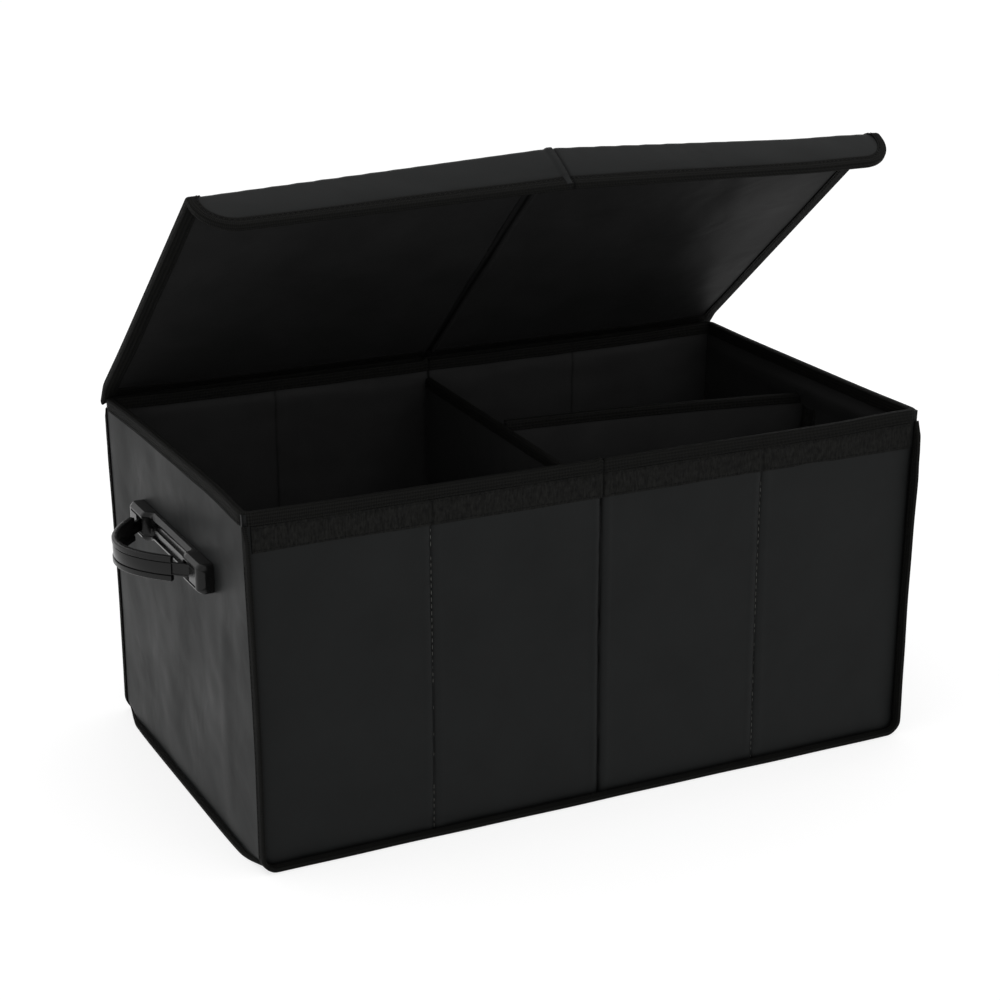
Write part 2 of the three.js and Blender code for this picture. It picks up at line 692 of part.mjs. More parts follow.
function flap() {
  const group = new THREE.Group();
  const sheet = (z, thickness) => extruded(flapShape(TAPE + FIT, FOLD_GAP), z, z + thickness);
  group.add(mesh('flap_cover', sheet(LID_COVER_Z, COVER), outerCloth));
  group.add(...flapBoards());
  group.add(mesh('flap_liner', sheet(LID_LINER_Z, LINER), innerCloth));
  group.add(mesh('flap_binding', flapBinding(), tape));
  const half = BOX_WIDTH / 2 - HOOK_INSET;
  const low = FOLD_BOARD_GAP + 2 + HOOK_HEIGHT;
  const hook = block([-half, half], [-low, -low + HOOK_HEIGHT], [HOOK_FACE, HOOK_FACE + LOOP_THICKNESS]);
  group.add(mesh('hook_strip', hook, hookLoop));
  group.position.set(0, -LID_DEPTH, 0);
  group.rotation.x = degrees(FLAP_BEND);
  return group;
}

function lid() {
  const group = new THREE.Group();
  group.add(mesh('lid_cover', lidSheet(LID_COVER_Z, COVER), outerCloth));
  group.add(...lidBoards());
  group.add(mesh('lid_liner', lidSheet(LID_LINER_Z, LINER), innerCloth));
  group.add(mesh('lid_binding', lidBinding(), tape));
  group.add(mesh('flap_hinge_strip', flapHingeStrip(), tape));
  group.add(flap());
  group.position.set(0, AXIS_Y, AXIS_Z);
  group.rotation.x = degrees(-LID_OPEN);
  return group;
}

// Cloth sewn up the back wall and over the rear edge of the open lid.
function lidHingeStrip() {
  const wallY = BOX_DEPTH / 2 + FIT + TAPE / 2;
  const open = degrees(LID_OPEN);
  const up = [Math.sin(open), Math.cos(open)];
  const rear = [Math.cos(open), -Math.sin(open)];
  const off = FIT + TAPE / 2;
  const place = (rise, back) => [
    AXIS_Y + up[0] * rise + rear[0] * back,
    AXIS_Z + up[1] * rise + rear[1] * back,
  ];
  const bend = place(0, off);
  const path = [
    [wallY, AXIS_Z - LID_STRIP_DROP],
    [wallY, bend[1] - off],
    place(off, off),
    place(EDGE + off - FIT, off),
    place(EDGE + off, off - FIT),
    place(EDGE + off, -HINGE_STRIP_LAP),
  ];
  const half = BOX_WIDTH / 2 - LID_TAPE_WIDTH - FIT;
  return alongX(ribbonShape(path, TAPE / 2, TAPE / 2), -half, half);
}

// Handles, drawn on the right wall: X is measured out from the cover and Y from the handle's middle.


function handleBase() {
  const profile = new THREE.Shape();
  profile.moveTo(FIT, HANDLE_HALF);
  profile.lineTo(FIT, -HANDLE_HALF);
  profile.absarc(BLOCK_HEIGHT - BLOCK_NOSE, -HANDLE_HALF + BLOCK_NOSE, BLOCK_NOSE, -Math.PI / 2, 0, false);
  profile.lineTo(BLOCK_HEIGHT, -BLOCK_START - BLOCK_RAMP);
  profile.quadraticCurveTo(RAIL_HEIGHT, -BLOCK_START - BLOCK_RAMP, RAIL_HEIGHT, -BLOCK_START);
  profile.lineTo(RAIL_HEIGHT, BLOCK_START);
  profile.quadraticCurveTo(RAIL_HEIGHT, BLOCK_START + BLOCK_RAMP, BLOCK_HEIGHT, BLOCK_START + BLOCK_RAMP);
  profile.lineTo(BLOCK_HEIGHT, HANDLE_HALF - BLOCK_NOSE);
  profile.absarc(BLOCK_HEIGHT - BLOCK_NOSE, HANDLE_HALF - BLOCK_NOSE, BLOCK_NOSE, 0, Math.PI / 2, false);
  const half = HANDLE_HEIGHT / 2;
  const lengthwise = extruded(profile, -half, half);
  // Seen from its end, the base is chamfered along its long edges, on the rail and on the blocks.
  const slope = half - BASE_CHAMFER;
  const section = polygon([
    [0, -half],
    [BLOCK_HEIGHT - BASE_CHAMFER, -half],
    [BLOCK_HEIGHT, -slope],
    [BLOCK_HEIGHT, slope],
    [BLOCK_HEIGHT - BASE_CHAMFER, half],
    [0, half],
  ]);
  const moulded = common(lengthwise, alongY(section, -HANDLE_HALF - 1, HANDLE_HALF + 1));
  const railEdge = polygon([
    [RAIL_HEIGHT - BASE_CHAMFER, half + 1],
    [RAIL_HEIGHT - BASE_CHAMFER, half],
    [RAIL_HEIGHT + 0.01, slope],
    [RAIL_HEIGHT + BASE_CHAMFER, slope],
    [RAIL_HEIGHT + BASE_CHAMFER, half + 1],
  ]);
  const edgeCut = alongY(railEdge, -BLOCK_START, BLOCK_START);
  const tools = [edgeCut, edgeCut.clone().rotateX(Math.PI)];
  const grooveX = [RAIL_HEIGHT - RAIL_GROOVE_DEPTH, BLOCK_HEIGHT];
  for (const z of [-RAIL_GROOVE_SPREAD, RAIL_GROOVE_SPREAD]) {
    const grooveZ = [z - RAIL_GROOVE / 2, z + RAIL_GROOVE / 2];
    tools.push(block(grooveX, [-BLOCK_START, BLOCK_START], grooveZ));
  }
  for (const end of [-1, 1]) {
    const across = (from, to) => [Math.min(end * from, end * to), Math.max(end * from, end * to)];
    const sides = [-POCKET_SIDE, POCKET_SIDE];
    const depth = [FIT + POCKET_FLOOR, BLOCK_HEIGHT - POCKET_ROOF];
    tools.push(block(depth, across(POCKET_START, POCKET_START + POCKET_LENGTH), sides));
    const slot = [BLOCK_HEIGHT / 2, BLOCK_HEIGHT + 1];
    tools.push(block(slot, across(POCKET_START, POCKET_START + SLOT_LENGTH), sides));
    const bore = SCREW_RADIUS + FIT;
    const hole = new THREE.CylinderGeometry(bore, bore, SCREW_REACH, 2 * ARC_STEPS);
    hole.rotateZ(Math.PI / 2).translate(SCREW_REACH / 2 + FIT, end * SCREW_PLACE, 0);
    tools.push(hole);
  }
  return cut(moulded, ...tools);
}

function archPath(reach) {
  const path = [];
  for (let i = 0; i <= ARCH_STEPS; i += 1) {
    const y = SHOULDER * (-1 + (2 * i) / ARCH_STEPS);
    path.push([reach - GRIP_FALL * (y / SHOULDER) ** 2, y]);
  }
  return path;
}

// The arch's outer face is a parabola. Each end narrows to a neck with a foot in the base's pocket.
function grip() {
  const outer = archPath(GRIP_REACH);
  const half = GRIP_HEIGHT / 2;
  const inset = (GRIP_RAIL - GRIP_CORE) / 2;
  const core = extruded(ribbonShape(outer, GRIP_RAIL - inset, -inset), -half, half);
  const rail = ribbonShape(outer, GRIP_RAIL, 0);
  const lower = extruded(rail, -half, -half + GRIP_RAIL_HEIGHT);
  const upper = extruded(rail, half - GRIP_RAIL_HEIGHT, half);
  const slope = (2 * GRIP_FALL) / SHOULDER;
  const length = Math.hypot(slope, 1);
  const inward = [-1 / length, -slope / length]; // from the outer face towards the middle of the band
  const shoulder = [
    GRIP_REACH - GRIP_FALL + (inward[0] * GRIP_RAIL) / 2,
    SHOULDER + (inward[1] * GRIP_RAIL) / 2,
  ];
  const roof = BLOCK_HEIGHT - POCKET_ROOF;
  const footX = roof - FIT - FOOT_THICKNESS / 2;
  const heelY = shoulder[1] + (shoulder[0] - footX) / slope;
  const back = GRIP_RAIL;
  const legs = [1, -1].map((end) => {
    const path = [
      [shoulder[0] + (back * slope) / length, end * (shoulder[1] - back / length)],
      [footX, end * heelY],
      [footX, end * (heelY + FOOT_LENGTH)],
    ];
    if (end < 0) path.reverse();
    const strip = ribbonShape(path, FOOT_THICKNESS / 2, FOOT_THICKNESS / 2);
    return extruded(strip, -NECK_HEIGHT / 2, NECK_HEIGHT / 2);
  });
  return join(core, lower, upper, ...legs);
}

function handlePlate() {
  const plate = block(
    [-TO_BOARD - BOARD, -TO_BOARD],
    [-PLATE_LENGTH / 2, PLATE_LENGTH / 2],
    [-PLATE_HEIGHT / 2, PLATE_HEIGHT / 2],
  );
  const holes = [-1, 1].map((end) => screwBody(end * SCREW_PLACE, FIT));
  return cut(plate, ...holes);
}

// A countersunk screw, head flush with the plate; a clearance makes it the hole that it sits in.
function screwBody(y, clearance) {
  const head = -TO_BOARD - BOARD - clearance;
  const neck = head + SCREW_HEAD_DEPTH;
  const profile = [
    [0, head],
    [SCREW_HEAD_RADIUS + clearance, head],
    [SCREW_RADIUS + clearance, neck + 2 * clearance],
    [SCREW_RADIUS + clearance, SCREW_REACH - SCREW_RADIUS],
    [0, SCREW_REACH - FIT],
  ].map(([radius, height]) => new THREE.Vector2(radius, height));
  return new THREE.LatheGeometry(profile, 2 * ARC_STEPS).rotateZ(-Math.PI / 2).translate(0, y, 0);
}

function handles() {
  const group = new THREE.Group();
  for (const [side, turn] of [
    ['left', Math.PI],
    ['right', 0],
  ]) {
    const handle = new THREE.Group();
    const seat = (geometry) => geometry.translate(WALL_X, 0, HANDLE_Z).rotateZ(turn);
    handle.add(mesh(`${side}_handle_base`, seat(handleBase()), plastic));
    handle.add(mesh(`${side}_grip`, seat(grip()), plastic));
    handle.add(mesh(`${side}_handle_plate`, seat(handlePlate()), steel));
    [-1, 1].forEach((end, i) => {
      const screw = seat(screwBody(end * SCREW_PLACE, 0));
      handle.add(mesh(`${side}_handle_screw_${i + 1}`, screw, steel));
    });
    group.add(handle);
  }
  return group;
}

const organizer = new THREE.Group();
organizer.name = 'car_organizer';
organizer.add(longWalls(), sideWalls(), base());
organizer.add(mesh('rim_binding', rimBinding(), tape));
organizer.add(mesh('loop_strip', loopStrip(), hookLoop));
organizer.add(divider(), partition());
organizer.add(mesh('lid_hinge_strip', lidHingeStrip(), tape));
organizer.add(lid(), handles());

export default organizer;
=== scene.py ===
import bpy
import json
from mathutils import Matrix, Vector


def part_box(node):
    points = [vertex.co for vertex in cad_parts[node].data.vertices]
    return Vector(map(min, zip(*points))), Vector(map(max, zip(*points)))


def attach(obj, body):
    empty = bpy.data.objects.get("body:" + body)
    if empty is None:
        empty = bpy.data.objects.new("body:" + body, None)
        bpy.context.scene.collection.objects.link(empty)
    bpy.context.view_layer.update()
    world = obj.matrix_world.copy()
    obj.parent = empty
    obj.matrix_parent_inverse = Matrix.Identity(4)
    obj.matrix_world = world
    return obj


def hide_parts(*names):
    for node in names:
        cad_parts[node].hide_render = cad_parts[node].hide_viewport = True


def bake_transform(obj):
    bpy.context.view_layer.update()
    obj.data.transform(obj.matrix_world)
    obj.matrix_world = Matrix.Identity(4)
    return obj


bl_info = {
    "name": "Foldable Boot Organizer",
    "version": (1, 0, 0),
    "blender": (4, 5, 0),
    "location": "View3D > Sidebar > Organizer",
    "description": "Dresses the frame of a foldable boot organizer in cloth, lining, tape and thread",
    "category": "Object",
}

import json
import math

import bmesh
import bpy
import numpy as np
from mathutils import Matrix, Vector

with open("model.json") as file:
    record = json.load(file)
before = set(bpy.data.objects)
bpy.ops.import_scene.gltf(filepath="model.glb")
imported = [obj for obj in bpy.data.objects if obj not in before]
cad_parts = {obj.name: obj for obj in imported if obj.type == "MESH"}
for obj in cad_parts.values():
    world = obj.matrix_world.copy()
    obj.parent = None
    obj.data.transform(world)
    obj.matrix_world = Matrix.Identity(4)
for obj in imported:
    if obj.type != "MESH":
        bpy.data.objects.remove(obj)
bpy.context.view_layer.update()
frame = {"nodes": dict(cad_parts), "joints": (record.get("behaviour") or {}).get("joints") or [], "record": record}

MM = 0.001


def span(node, axis):
    """Lowest and highest place of a frame node along one axis, in millimetres."""
    low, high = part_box(node)
    return low[axis] / MM, high[axis] / MM


# Faces of the sewn box, read from the frame so that the cloth always fits it.
WALL_X = span("right_board", 0)[1] + 1.2  # outer face of the side cloth
WALL_Y = -span("front_board_1", 1)[0] + 1.2  # outer face of the front and back cloth
WALL_TOP = span("front_board_1", 2)[1]
RIM_X, RIM_Y = span("rim_binding", 0)[1], span("rim_binding", 1)[1]
RIM_LOW, RIM_TOP = span("rim_binding", 2)
INNER_X = span("right_liner", 0)[0]
INNER_Y = -span("front_liner", 1)[1]
INNER_Z = span("base_liner", 2)[1]
QUARTER = WALL_X / 2  # a long wall is sewn in four fields
SEAMS = (-QUARTER, 0.0, QUARTER)
LID_X = span("lid_binding", 0)[1]
LID_SKEW = 4.0  # the lid's front edge sits this far to the left
CLOTH = 0.9  # thickness of the coated cloth
TAPE = 0.7  # thickness of the woven tape
EDGE = 6.6  # thickness of a panel with its tape
SEWN_ON = 0.3  # how far a tape sewn to the front or the back stands off the cloth
LID_JOINT = next(j for j in frame["joints"] if j["name"] == "lid_hinge")
FLAP_JOINT = next(j for j in frame["joints"] if j["name"] == "flap_hinge")
AXIS_Y, AXIS_Z = (LID_JOINT["pos_m"][i] / MM for i in (1, 2))
FOLD_Y, FOLD_Z = (FLAP_JOINT["pos_m"][i] / MM for i in (1, 2))
# How far open the lid stands, and its depth from hinge to fold.
LID_OPEN = math.atan2(FOLD_Z - AXIS_Z, AXIS_Y - FOLD_Y)
LID_DEPTH = math.hypot(FOLD_Z - AXIS_Z, AXIS_Y - FOLD_Y)
FLAP_BEND = math.radians(68)  # sprung up from the 80 degrees of the solid, as photographed
FLAP_HEIGHT = 34
FLAP_RADIUS = 32
FIN = 4.1  # thickness of a bound seam
CORNER = 13.0  # radius of the bound seams at the floor
PARTITION_Y = 12  # where the partition's line meets the divider
PARTITION_SKEW = -math.radians(3.2)
HANDLE_Z = 209.0  # height of the handles' middle
BASE_HALF, BASE_TALL = 86.0, 12.0  # half the length and half the height of a handle's base
RAIL_END, BLOCK_START = 45, 51  # a ramp joins the base's rail to the blocks at its ends
RAIL_OUT, BLOCK_OUT = 6.7, 13.0  # how far they stand out from the wall
GRIP_OUT, GRIP_FALL, GRIP_HALF = 51, 28, 52  # the grip's arch: reach, fall to its shoulders, half length


# ---------------------------------------------------------------- settings


class OrganizerSizes(bpy.types.PropertyGroup):
    """Sizes of the sewing and of the cloth's folds"""

    lid_ridge: bpy.props.FloatProperty(
        name="Lid ridge", description="How far the lid's centre fold rises at its front edge",
        default=0.0145, min=0, max=0.02, subtype="DISTANCE", unit="LENGTH",
    )
    cloth_crown: bpy.props.FloatProperty(
        name="Cloth crown", description="How far the cloth swells between two seams",
        default=0.0012, min=0, max=0.003, subtype="DISTANCE", unit="LENGTH",
    )
    fold_depth: bpy.props.FloatProperty(
        name="Centre fold", description="Depth of the fold down the middle of the long walls",
        default=0.0023, min=0, max=0.003, subtype="DISTANCE", unit="LENGTH",
    )
    seam_depth: bpy.props.FloatProperty(
        name="Seam groove", description="Depth of a stitched seam between two boards",
        default=0.0015, min=0, max=0.002, subtype="DISTANCE", unit="LENGTH",
    )
    rib_pitch: bpy.props.FloatProperty(
        name="Tape rib", description="Distance from one rib of the woven tape to the next",
        default=0.0013, min=0.0005, max=0.003, subtype="DISTANCE", unit="LENGTH",
    )
    stitch_pitch: bpy.props.FloatProperty(
        name="Stitch pitch", description="Distance from one stitch to the next",
        default=0.0040, min=0.002, max=0.008, subtype="DISTANCE", unit="LENGTH",
    )
    stitch_length: bpy.props.FloatProperty(
        name="Stitch length", description="Length of thread that shows in one stitch",
        default=0.0031, min=0.001, max=0.007, subtype="DISTANCE", unit="LENGTH",
    )
    thread_width: bpy.props.FloatProperty(
        name="Thread", description="Thickness of the sewing thread",
        default=0.00055, min=0.0002, max=0.001, subtype="DISTANCE", unit="LENGTH",
    )


class OrganizerColours(bpy.types.PropertyGroup):
    """Colours of the cloth, tape and mouldings, as hex values"""

    cloth: bpy.props.StringProperty(name="Coated cloth", description="Outer cloth", default="#1b1c1c")
    # The lining is written lighter than the outer cloth: painted light that makes up for the shade inside the box.
    lining: bpy.props.StringProperty(name="Lining", description="Inner cloth", default="#252525")
    tape: bpy.props.StringProperty(name="Tape", description="Woven binding tape", default="#111110")
    pile: bpy.props.StringProperty(name="Hook and loop", description="Hook and loop tape", default="#151514")
    plastic: bpy.props.StringProperty(name="Plastic", description="Moulded handle", default="#0e0e0e")
    thread: bpy.props.StringProperty(name="Thread", description="Sewing thread", default="#101010")
    seam_thread: bpy.props.StringProperty(
        name="Seam thread", description="Paler thread of the seams between the boards", default="#5c5c59"
    )
    board: bpy.props.StringProperty(name="Board", description="Stiffener board", default="#8f7c62")
    steel: bpy.props.StringProperty(name="Steel", description="Plates and screws", default="#9a9a9a")


def sizes():
    return bpy.context.scene.organizer_sizes


def millimetres(name):
    return getattr(sizes(), name) / MM


# ---------------------------------------------------------------- materials


def linear(colour):
    """An sRGB hex colour as the linear values that Blender's sockets hold."""
    values = [int(colour[i : i + 2], 16) / 255 for i in (1, 3, 5)]
    return [v / 12.92 if v <= 0.04045 else ((v + 0.055) / 1.055) ** 2.4 for v in values] + [1.0]


def add(tree, kind, inputs=None, **settings):
    """One node: its settings, then its inputs, each a value or the socket that feeds it."""
    made = tree.nodes.new(kind)
    for name, value in settings.items():
        setattr(made, name, value)
    for name, value in (inputs or {}).items():
        socket = made.inputs[name]
        if isinstance(value, bpy.types.NodeSocket):
            tree.links.new(value, socket)
        else:
            socket.default_value = value
    return made


def painted(tree, shader, factor, span_of_factor, colour, low, high, crease=1.0):
    """The base colour: from low to high times the colour as the factor crosses its span. At the bottom of
    a crease it falls to the given share of itself: painted shade, where little light gets in."""
    start, end = span_of_factor
    share = add(tree, "ShaderNodeMapRange", {"Value": factor, "From Min": start, "From Max": end})
    tint = add(
        tree, "ShaderNodeMix",
        {
            "Factor": share.outputs["Result"],
            6: [c * low for c in colour[:3]] + [1.0], 7: [c * high for c in colour[:3]] + [1.0],
        },
        data_type="RGBA",
    )
    paint = tint.outputs[2]
    # Painted shade in the creases, read from the mesh's CreaseShade attribute.
    if crease < 1:
        depth = add(tree, "ShaderNodeAttribute", attribute_name="CreaseShade").outputs["Fac"]
        fall = add(tree, "ShaderNodeMapRange", {"Value": depth, "To Min": 1.0, "To Max": crease})
        shaded = add(
            tree, "ShaderNodeMix", {"Factor": 1.0, 6: paint, 7: fall.outputs["Result"]},
            data_type="RGBA", blend_type="MULTIPLY",
        )
        paint = shaded.outputs[2]
    tree.links.new(paint, shader.inputs["Base Color"])


def coated_cloth(tree, shader, colour, place, roughness, grain=1.1, level=0.07, wrinkle=0.35):
    """Polyurethane-coated cloth: embossed with a fine leather grain, then rolled, which leaves it satin."""
    # The real grain is about 0.6 mm; it is drawn at 1.1 mm so that a render of the whole box shows it.
    cells = add(tree, "ShaderNodeTexVoronoi", {"Vector": place, "Scale": 1000 / grain}, feature="F1")
    speck = add(tree, "ShaderNodeTexNoise", {"Vector": place, "Scale": 620.0, "Detail": 3.0})
    # Where rolling pressed the coat harder: clouds about 70 mm across.
    cloud = add(
        tree, "ShaderNodeTexNoise", {"Vector": place, "Scale": 14.0, "Detail": 4.0, "Roughness": 0.6}
    ).outputs["Fac"]
    # Soft creases left by folding the box flat, 40 to 80 mm apart.
    crease = add(
        tree, "ShaderNodeTexNoise",
        {"Vector": place, "Scale": 17.0, "Detail": 2.5, "Roughness": 0.45, "Distortion": 0.6},
    )
    height = add(
        tree, "ShaderNodeMath", {0: cells.outputs["Distance"], 1: speck.outputs["Fac"]}, operation="ADD"
    )
    small = add(tree, "ShaderNodeBump", {"Strength": 0.28, "Distance": 0.00012, "Height": height.outputs[0]})
    large = add(
        tree, "ShaderNodeBump",
        {"Strength": wrinkle, "Distance": 0.0035, "Height": crease.outputs["Fac"], "Normal": small.outputs[0]},
    )
    tree.links.new(large.outputs[0], shader.inputs["Normal"])
    painted(tree, shader, cloud, (0.3, 0.7), colour, 0.88, 1.14, crease=0.1)
    satin = add(
        tree, "ShaderNodeMapRange",
        {
            "Value": cloud, "From Min": 0.3, "From Max": 0.7,
            "To Min": roughness - 0.05, "To Max": roughness + 0.06,
        },
    )
    tree.links.new(satin.outputs["Result"], shader.inputs["Roughness"])
    shader.inputs["IOR"].default_value = 1.5
    shader.inputs["Specular IOR Level"].default_value = level


def ribbed_tape(tree, shader, colour, place):
    """Woven polyester ribbon: fat weft ribs straight across it, matt, with a dull sheen on each rib painted into
    its colour as a highlight on the crests and shade between them.
    """
    lie = add(tree, "ShaderNodeUVMap", uv_map="Lie").outputs["UV"]
    parts = add(tree, "ShaderNodeSeparateXYZ", {"Vector": lie})
    # The UV map is in metres, so a full wave is one rib; the warp threads are twice as far apart.
    turn = 2 * math.pi / sizes().rib_pitch
    along = add(tree, "ShaderNodeMath", {0: parts.outputs["X"], 1: turn}, operation="MULTIPLY")
    rib = add(tree, "ShaderNodeMath", {0: along.outputs[0]}, operation="SINE")
    across = add(tree, "ShaderNodeMath", {0: parts.outputs["Y"], 1: turn * 0.52}, operation="MULTIPLY")
    warp = add(tree, "ShaderNodeMath", {0: across.outputs[0]}, operation="SINE")
    height = add(
        tree, "ShaderNodeMath", {0: warp.outputs[0], 1: 0.7, 2: rib.outputs[0]}, operation="MULTIPLY_ADD"
    )
    fuzz = add(tree, "ShaderNodeTexNoise", {"Vector": place, "Scale": 900.0, "Detail": 2.0})
    both = add(
        tree, "ShaderNodeMath", {0: fuzz.outputs["Fac"], 1: 0.9, 2: height.outputs[0]}, operation="MULTIPLY_ADD"
    )
    bump = add(tree, "ShaderNodeBump", {"Strength": 0.75, "Distance": 0.00022, "Height": both.outputs[0]})
    tree.links.new(bump.outputs[0], shader.inputs["Normal"])
    # Painted highlight and shade: the colour is lighter on the ribs' crests and darker between them, and painted
    # shade darkens the creases.
    painted(tree, shader, both.outputs[0], (-1.0, 1.8), colour, 0.4, 1.8, crease=0.15)
    shader.inputs["Roughness"].default_value = 0.72
    shader.inputs["Specular IOR Level"].default_value = 0.05


def hook_and_loop(tree, shader, colour, place):
    """Hook-and-loop tape: a brushed pile on a woven ground, mottled where the loops lean."""
    # Loops stand in rows about 1.6 mm apart and lean in clumps of 3 to 5 mm.
    rows = add(tree, "ShaderNodeMapping", {"Vector": place, "Scale": (1.0, 1.0, 0.25)})
    loops = add(
        tree, "ShaderNodeTexNoise", {"Vector": rows.outputs[0], "Scale": 640.0, "Detail": 3.0, "Roughness": 0.7}
    )
    clumps = add(tree, "ShaderNodeTexNoise", {"Vector": place, "Scale": 230.0, "Detail": 2.0})
    mixed = add(
        tree, "ShaderNodeMath",
        {0: clumps.outputs["Fac"], 1: 0.5, 2: loops.outputs["Fac"]}, operation="MULTIPLY_ADD",
    )
    bump = add(tree, "ShaderNodeBump", {"Strength": 0.9, "Distance": 0.0005, "Height": mixed.outputs[0]})
    tree.links.new(bump.outputs[0], shader.inputs["Normal"])
    painted(tree, shader, mixed.outputs[0], (0.55, 0.95), colour, 0.45, 1.75, crease=0.15)
    shader.inputs["Roughness"].default_value = 0.85
    shader.inputs["Specular IOR Level"].default_value = 0.08


def moulded_plastic(tree, shader, colour, place):
    """Injection-moulded polypropylene, black through and through: a satin skin with faint flow marks."""
    # Spark-eroded mould texture, about 0.5 mm, and flow marks 10 mm long.
    spark = add(tree, "ShaderNodeTexNoise", {"Vector": place, "Scale": 1800.0, "Detail": 2.0})
    flow = add(tree, "ShaderNodeTexNoise", {"Vector": place, "Scale": 90.0, "Detail": 3.0}).outputs["Fac"]
    bump = add(tree, "ShaderNodeBump", {"Strength": 0.16, "Distance": 0.0001, "Height": spark.outputs["Fac"]})
    tree.links.new(bump.outputs[0], shader.inputs["Normal"])
    painted(tree, shader, flow, (0, 1), colour, 0.85, 1.2)
    satin = add(
        tree, "ShaderNodeMapRange",
        {"Value": flow, "From Min": 0.35, "From Max": 0.65, "To Min": 0.18, "To Max": 0.28},
    )
    tree.links.new(satin.outputs["Result"], shader.inputs["Roughness"])
    shader.inputs["IOR"].default_value = 1.49
    shader.inputs["Specular IOR Level"].default_value = 0.22


def spun_thread(tree, shader, colour, place):
    """Polyester sewing thread: two plies, with hardly any gloss."""
    ply = add(tree, "ShaderNodeTexNoise", {"Vector": place, "Scale": 1600.0, "Detail": 1.0})
    painted(tree, shader, ply.outputs["Fac"], (0, 1), colour, 0.7, 1.3)
    shader.inputs["Roughness"].default_value = 0.65
    shader.inputs["Specular IOR Level"].default_value = 0.06


def pressed_board(tree, shader, colour, place):
    """Grey-brown chipboard pressed from pulp: fibres 1 to 3 mm long, quite matt."""
    fibre = add(
        tree, "ShaderNodeTexNoise", {"Vector": place, "Scale": 420.0, "Detail": 5.0, "Roughness": 0.7}
    ).outputs["Fac"]
    painted(tree, shader, fibre, (0, 1), colour, 0.7, 1.2)
    bump = add(tree, "ShaderNodeBump", {"Strength": 0.3, "Distance": 0.0002, "Height": fibre})
    tree.links.new(bump.outputs[0], shader.inputs["Normal"])
    shader.inputs["Roughness"].default_value = 0.92


def plated_steel(tree, shader, colour, place):
    """Zinc-plated sheet steel: dull spangle 4 to 8 mm across."""
    spangle = add(tree, "ShaderNodeTexVoronoi", {"Vector": place, "Scale": 170.0}, feature="F1")
    painted(tree, shader, spangle.outputs["Distance"], (0, 1), colour, 0.85, 1.1)
    dull = add(
        tree, "ShaderNodeMapRange", {"Value": spangle.outputs["Distance"], "To Min": 0.3, "To Max": 0.48}
    )
    tree.links.new(dull.outputs["Result"], shader.inputs["Roughness"])
    shader.inputs["Metallic"].default_value = 1.0


# Every finish: its name, how it is made, the setting that holds its colour, and its own values.
FINISHES = {
    "outer_cloth": ("coated cloth, leather grain", coated_cloth, "cloth", {"roughness": 0.47}),
    "inner_cloth": (
        "coated lining, smooth", coated_cloth, "lining",
        {"roughness": 0.52, "grain": 0.8, "level": 0.045, "wrinkle": 0.5},
    ),
    "tape": ("woven polyester tape", ribbed_tape, "tape", {}),
    "hook_loop": ("hook and loop pile", hook_and_loop, "pile", {}),
    "plastic": ("moulded polypropylene", moulded_plastic, "plastic", {}),
    "thread": ("sewing thread, dark", spun_thread, "thread", {}),
    "seam_thread": ("sewing thread, pale", spun_thread, "seam_thread", {}),
    "board": ("pressed stiffener board", pressed_board, "board", {}),
    "steel": ("zinc-plated steel", plated_steel, "steel", {}),
}


def finish_of(key):
    """The material of that finish, made the first time that it is asked for."""
    name, recipe, colour, values = FINISHES[key]
    finish = bpy.data.materials.get(name)
    if finish is None:
        finish = bpy.data.materials.new(name)
        finish.use_nodes = True
        tree = finish.node_tree
        place = add(tree, "ShaderNodeTexCoord").outputs["Object"]
        hex_colour = getattr(bpy.context.scene.organizer_colours, colour)
        recipe(tree, tree.nodes["Principled BSDF"], linear(hex_colour), place, **values)
    return finish


# ---------------------------------------------------------------- mesh helpers


SHARP = 38  # angle in degrees from which an edge is drawn sharp


def crossed(a, b):
    """Two grids that pair every place of the first with every place of the second."""
    return np.meshgrid(a, b, indexing="ij")


def quads(rows, columns, first=0, wrap_rows=False, wrap_columns=False):
    """Faces of a grid whose points run column by column along each row."""
    i = np.arange(rows if wrap_rows else rows - 1)
    j = np.arange(columns if wrap_columns else columns - 1)
    a, b = crossed(i, j)
    a2, b2 = (a + 1) % rows, (b + 1) % columns
    faces = np.stack([a * columns + b, a2 * columns + b, a2 * columns + b2, a * columns + b2], -1)
    return (faces.reshape(-1, 4) + first).tolist()


def linked(name, data):
    """An object for a mesh, lamp or camera, put into the scene at the origin."""
    item = bpy.data.objects.new(name, data)
    bpy.context.scene.collection.objects.link(item)
    return item


def make(name, points, faces, slot, lie=None, crease=SHARP, dark=None):
    """A closed mesh from points in millimetres. lie is its UV map, in millimetres too, and dark the painted shade
    of its creases.
    """
    mesh = bpy.data.meshes.new(name)
    mesh.from_pydata((np.asarray(points, float).reshape(-1, 3) * MM).tolist(), [], faces)
    if lie is not None:
        layer = mesh.uv_layers.new(name="Lie")
        index = np.zeros(len(mesh.loops), int)
        mesh.loops.foreach_get("vertex_index", index)
        layer.data.foreach_set("uv", (np.asarray(lie, float).reshape(-1, 2)[index] * MM).ravel())
    if dark is not None:
        # Painted shade of the creases, 0 to 1, that the finishes read to darken their colour.
        creases = mesh.attributes.new("CreaseShade", "FLOAT", "POINT")
        creases.data.foreach_set("value", np.clip(np.asarray(dark, float).ravel(), 0, 1))
    work = bmesh.new()
    work.from_mesh(mesh)
    bmesh.ops.recalc_face_normals(work, faces=work.faces)
    work.to_mesh(mesh)
    work.free()
    mesh.polygons.foreach_set("use_smooth", [True] * len(mesh.polygons))
    mesh.set_sharp_from_angle(angle=math.radians(crease))
    mesh.materials.append(finish_of(slot))
    piece = linked(name, mesh)
    return piece


